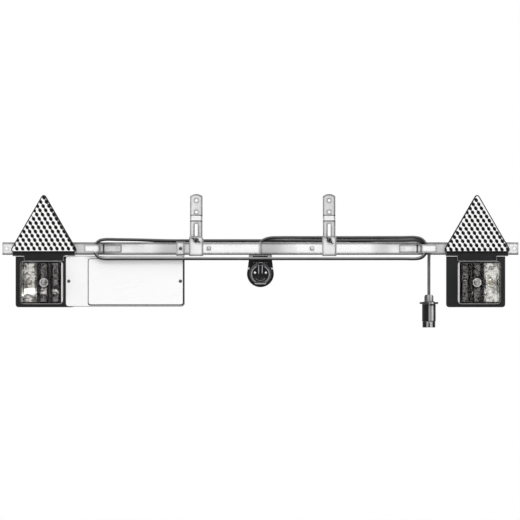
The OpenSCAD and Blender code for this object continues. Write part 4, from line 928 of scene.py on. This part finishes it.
def make_cells(s, cx, field):
    """Rows of dark cells, joined along slanting columns by fine lines, clipped to the field."""
    pitch, lean, row_pitch, first_dot, first_row = PATTERN[s]
    slant = Matrix.Rotation(math.atan2(lean, row_pitch), 4, "Y")
    column = math.hypot(lean, row_pitch)
    cells = bmesh.new()
    for row in range(DOT_ROWS):
        for number in range(-2, 20):
            x = first_dot + number * pitch + row * lean
            z = first_row + row * row_pitch
            has_dot = inside_triangle(x, z, 0.5)
            if not (has_dot or inside_triangle(x + lean, z + row_pitch, 1.0)):
                continue
            place = Matrix.Translation((cx + x, field, TRIANGLE_Z + z)) @ slant
            if has_dot:
                size = Matrix.Diagonal((DOT_SHORT, DOT_LONG, 1.0, 1.0))
                made = bmesh.ops.create_circle(cells, cap_ends=True, segments=14, radius=1.0,
                                               matrix=place @ LIE_TO_FRONT @ size)
                face = made["verts"][0].link_faces[0]
                step(cells, face, 0.15, 0.35, 1)
                step(cells, face, 1.0, 0.35, 1)
                step(cells, face, 1.2, 0.12, 1)
                face.material_index = 1
            size = Matrix.Diagonal((LINE_WIDTH, column, 1.0, 1.0))
            line = Matrix.Translation((0.0, 0.0, column / 2)) @ LIE_TO_FRONT @ size
            made = bmesh.ops.create_grid(cells, x_segments=1, y_segments=1, size=0.5,
                                         matrix=place @ line)
            face = made["verts"][0].link_faces[0]
            step(cells, face, 0.5, 0.3, 1)
            face.material_index = 1
    # The pattern stops at the block's rim
    slope = math.sqrt(3) / 2
    foot = (cx, field, TRIANGLE_Z + 2.2)
    top = (cx, field, TRIANGLE_Z + TRIANGLE_SIDE * slope - 4.4)
    for point, outward in ((foot, (0, 0, -1)), (top, (slope, 0, 0.5)), (top, (-slope, 0, 0.5))):
        bmesh.ops.bisect_plane(cells, geom=cells.verts[:] + cells.edges[:] + cells.faces[:],
                               plane_co=point, plane_no=outward, clear_outer=True)
    return cells


def make_reflector(s):
    """Triangular reflector: moulded block with a rim, and dark cells on a field painted white as
    the light it throws back.
    """
    cx = BAR_SHIFT + s * TRIANGLE_X
    bm = bmesh.new()
    face = triangle_face(bm, cx, CARRIER_FRONT)
    step(bm, face, 0.0, CARRIER_FRONT - REFLECTOR_FRONT - 1.5, 2)
    round_over(bm, face, 1.5, material=2)
    step(bm, face, 0.9, 0.0, 2)
    step(bm, face, 0.4, -1.0)
    face.material_index = 0
    close_back(bm)
    cells = make_cells(s, cx, REFLECTOR_FRONT + 1.0)
    pattern = bpy.data.meshes.new("cells")
    cells.to_mesh(pattern)
    cells.free()
    bm.from_mesh(pattern)
    bpy.data.meshes.remove(pattern)
    side = lamp_side(s)
    mesh_piece("reflector_" + side, bm, "light_bar", (CELLS, DOTS, FLANK),
               "triangle_reflector_" + side)


for s in (-1, 1):
    make_reflector(s)


# Number-plate panel

# Boxes as (low, high, bottom, top), and the field's flanks as left, right, lower, upper
PANEL = (-473.5, -187.5, -241.5, -119.5)
PANEL_BACK = -40.3
PANEL_FRONT = -42.3
FIELD = (-419.7, -188.7, -239.0, -126.0)
FIELD_FRONT = -43.8
# The flanks' widths: painted dark as shade, wider on the right and below
FIELD_FLANKS = (1.7, 3.2, 3.0, 1.1)


def make_panel():
    """White panel with an edge painted dark as shade, and a raised field whose flanks are painted
    dark as shade.
    """
    bm = bmesh.new()
    face = rounded_face(bm, PANEL, (8.0,) * 4, PANEL_BACK)
    step(bm, face, 0.0, 1.4, 1)
    step(bm, face, 1.1, 0.5, 1)
    step(bm, face, 0.3, 0.1)
    low, high, bottom, top = FIELD
    face = rounded_face(bm, FIELD, (6.0,) * 4, PANEL_FRONT + 0.3)
    step(bm, face, 0.0, 0.4, 1)
    step(bm, face, 1.0, PANEL_FRONT - FIELD_FRONT - 0.1, 1)
    left, right, lower, upper = FIELD_FLANKS
    centre = Vector(((low + high) / 2, FIELD_FRONT, (bottom + top) / 2))
    width, height = high - low, top - bottom
    size = ((width - left - right) / (width - 2), 1.0, (height - lower - upper) / (height - 2))
    bmesh.ops.scale(bm, vec=size, space=Matrix.Translation(-centre), verts=face.verts[:])
    shift = ((left - right) / 2, 0.0, (lower - upper) / 2)
    bmesh.ops.translate(bm, vec=shift, verts=face.verts[:])
    step(bm, face, 0.5, 0.0)
    close_back(bm)
    mesh_piece("number_panel", bm, "light_bar", (WHITE, PANEL_PAINTED_SHADE), "plate_panel")


make_panel()


# Socket lid

def cad_copy(node):
    """A bmesh in millimetres of a CAD node's mesh, with its loose triangles joined."""
    source = NODES[node]
    bm = bmesh.new()
    bm.from_mesh(source.data)
    bmesh.ops.transform(bm, matrix=source.matrix_world, verts=bm.verts)
    bmesh.ops.remove_doubles(bm, verts=bm.verts, dist=1e-6)
    bmesh.ops.scale(bm, vec=(1 / MM, 1 / MM, 1 / MM), verts=bm.verts)
    for face in bm.faces:
        face.material_index = 0
    return bm


def arc_ridge(bm, centre, radius, start, end, width, height, steps, material):
    """A raised arc on the lid, between two angles round a centre, counted from the right."""
    x, z = centre
    first = math.radians(start)
    half = width / 2
    verts = []
    for across, out in ((-half, 0.3), (0.2 - half, -height), (half - 0.2, -height), (half, 0.3)):
        r = radius + across
        place = (x + r * math.cos(first), LID_FRONT + out, z + r * math.sin(first))
        verts.append(bm.verts.new(place))
    edges = [bm.edges.new((a, b)) for a, b in zip(verts, verts[1:] + verts[:1])]
    before = len(bm.faces)
    bmesh.ops.spin(bm, geom=verts + edges, cent=(x, LID_FRONT, z), axis=(0.0, -1.0, 0.0),
                   angle=math.radians(end - start), steps=steps)
    close_back(bm)
    bm.faces.ensure_lookup_table()
    for face in bm.faces[before:]:
        face.material_index = material


def make_socket_lid():
    """The lid's plate with ridges, a curved mark, two rivets and a toothed grip; ridges, mark and
    grip painted grey as glints.
    """
    bm = cad_copy("socket_lid")
    for face in bm.faces:
        middle = face.calc_center_median()
        on_rib = abs(abs(middle.x - SOCKET_X) - 4.3) < 1.6 and SOCKET_Z < middle.z < SOCKET_Z + 23
        if on_rib and middle.y < LID_FRONT - 0.9:
            face.material_index = 1
    for start, end in ((118, 236), (-56, 62)):
        arc_ridge(bm, (SOCKET_X, SOCKET_Z - 2.0), 21.2, start, end, 1.7, 1.1, 14, 1)
    arc_ridge(bm, (SOCKET_X, SOCKET_Z - 1.0), 15.4, 222, 318, 1.3, 0.7, 10, 2)
    rivet = [(0.0, -1.5), (1.6, -1.3), (2.6, -0.7), (2.9, 0.2)]
    for x in (-13.0, 13.0):
        turned(bm, rivet, (SOCKET_X + x, LID_FRONT, SOCKET_Z + 2.5), 16, 3)
    grip = (SOCKET_X - 13.5, SOCKET_X + 13.5, SOCKET_Z - 24.4, SOCKET_Z - 22.2)
    block(bm, grip, (1.0,) * 4, LID_FRONT, LID_FRONT - 1.4, 0.5, 1)
    for number in range(5):
        x = SOCKET_X + (number - 2) * 4.6
        tooth = (x - 1.0, x + 1.0, SOCKET_Z - 26.4, SOCKET_Z - 24.6)
        block(bm, tooth, (0.5,) * 4, LID_FRONT, LID_FRONT - 1.2, 0.4, 2)
    close_back(bm)
    mesh_piece("lid_of_socket", bm, "lid", (BLACK_GLOSS, RIDGE_GLINT, RIDGE_GLINT_DIM, ZINC), "socket_lid")


make_socket_lid()


# Finishes of the CAD pieces that keep their shape

FINISHES = {
    STEEL_BAR_LEFT: ("bar_left",),
    STEEL_BAR_RIGHT: ("bar_right",),
    STEEL_STRIP: ("upright_left", "upright_right", "lamp_bracket_left", "lamp_bracket_right",
                  "socket_bracket"),
    STEEL_PLATE: ("bar_joiner", "clamp_plate_left", "clamp_plate_right", "lead_hook_left",
                  "lead_hook_right", "panel_hanger"),
    RIVET: ("joiner_rivets",),
    ZINC: ("clamp_washers", "hook_rivets", "bracket_bolts", "lamp_bolts", "lens_screws",
           "carrier_screws", "socket_hinge_pin", "socket_spring", "socket_screws", "plug_pins"),
    ZINC_DARK: ("clamp_bolts",),
    NUT_CAST: ("wing_nut_left", "wing_nut_right"),
    SCREW_DARK: ("plate_screws",),
    BRASS: ("socket_contacts",),
    BLACK: ("socket_insert", "junction_box"),
    BLACK_EDGED: ("triangle_carrier_left", "triangle_carrier_right"),
    BLACK_GLOSS: ("socket_housing",),
    RUBBER: ("lens_gasket_left", "lens_gasket_right", "socket_gasket", "lead_grommet"),
    CLEAR: ("plate_window_left",),
    PLUG_GLAND: ("plug_gland",),
    PLUG_BLACK: ("plug_body",),
    PLUG_SLEEVE: ("plug_sleeve",),
}
for material, names in FINISHES.items():
    for name in names:
        for slot in NODES[name].material_slots:
            slot.material = material
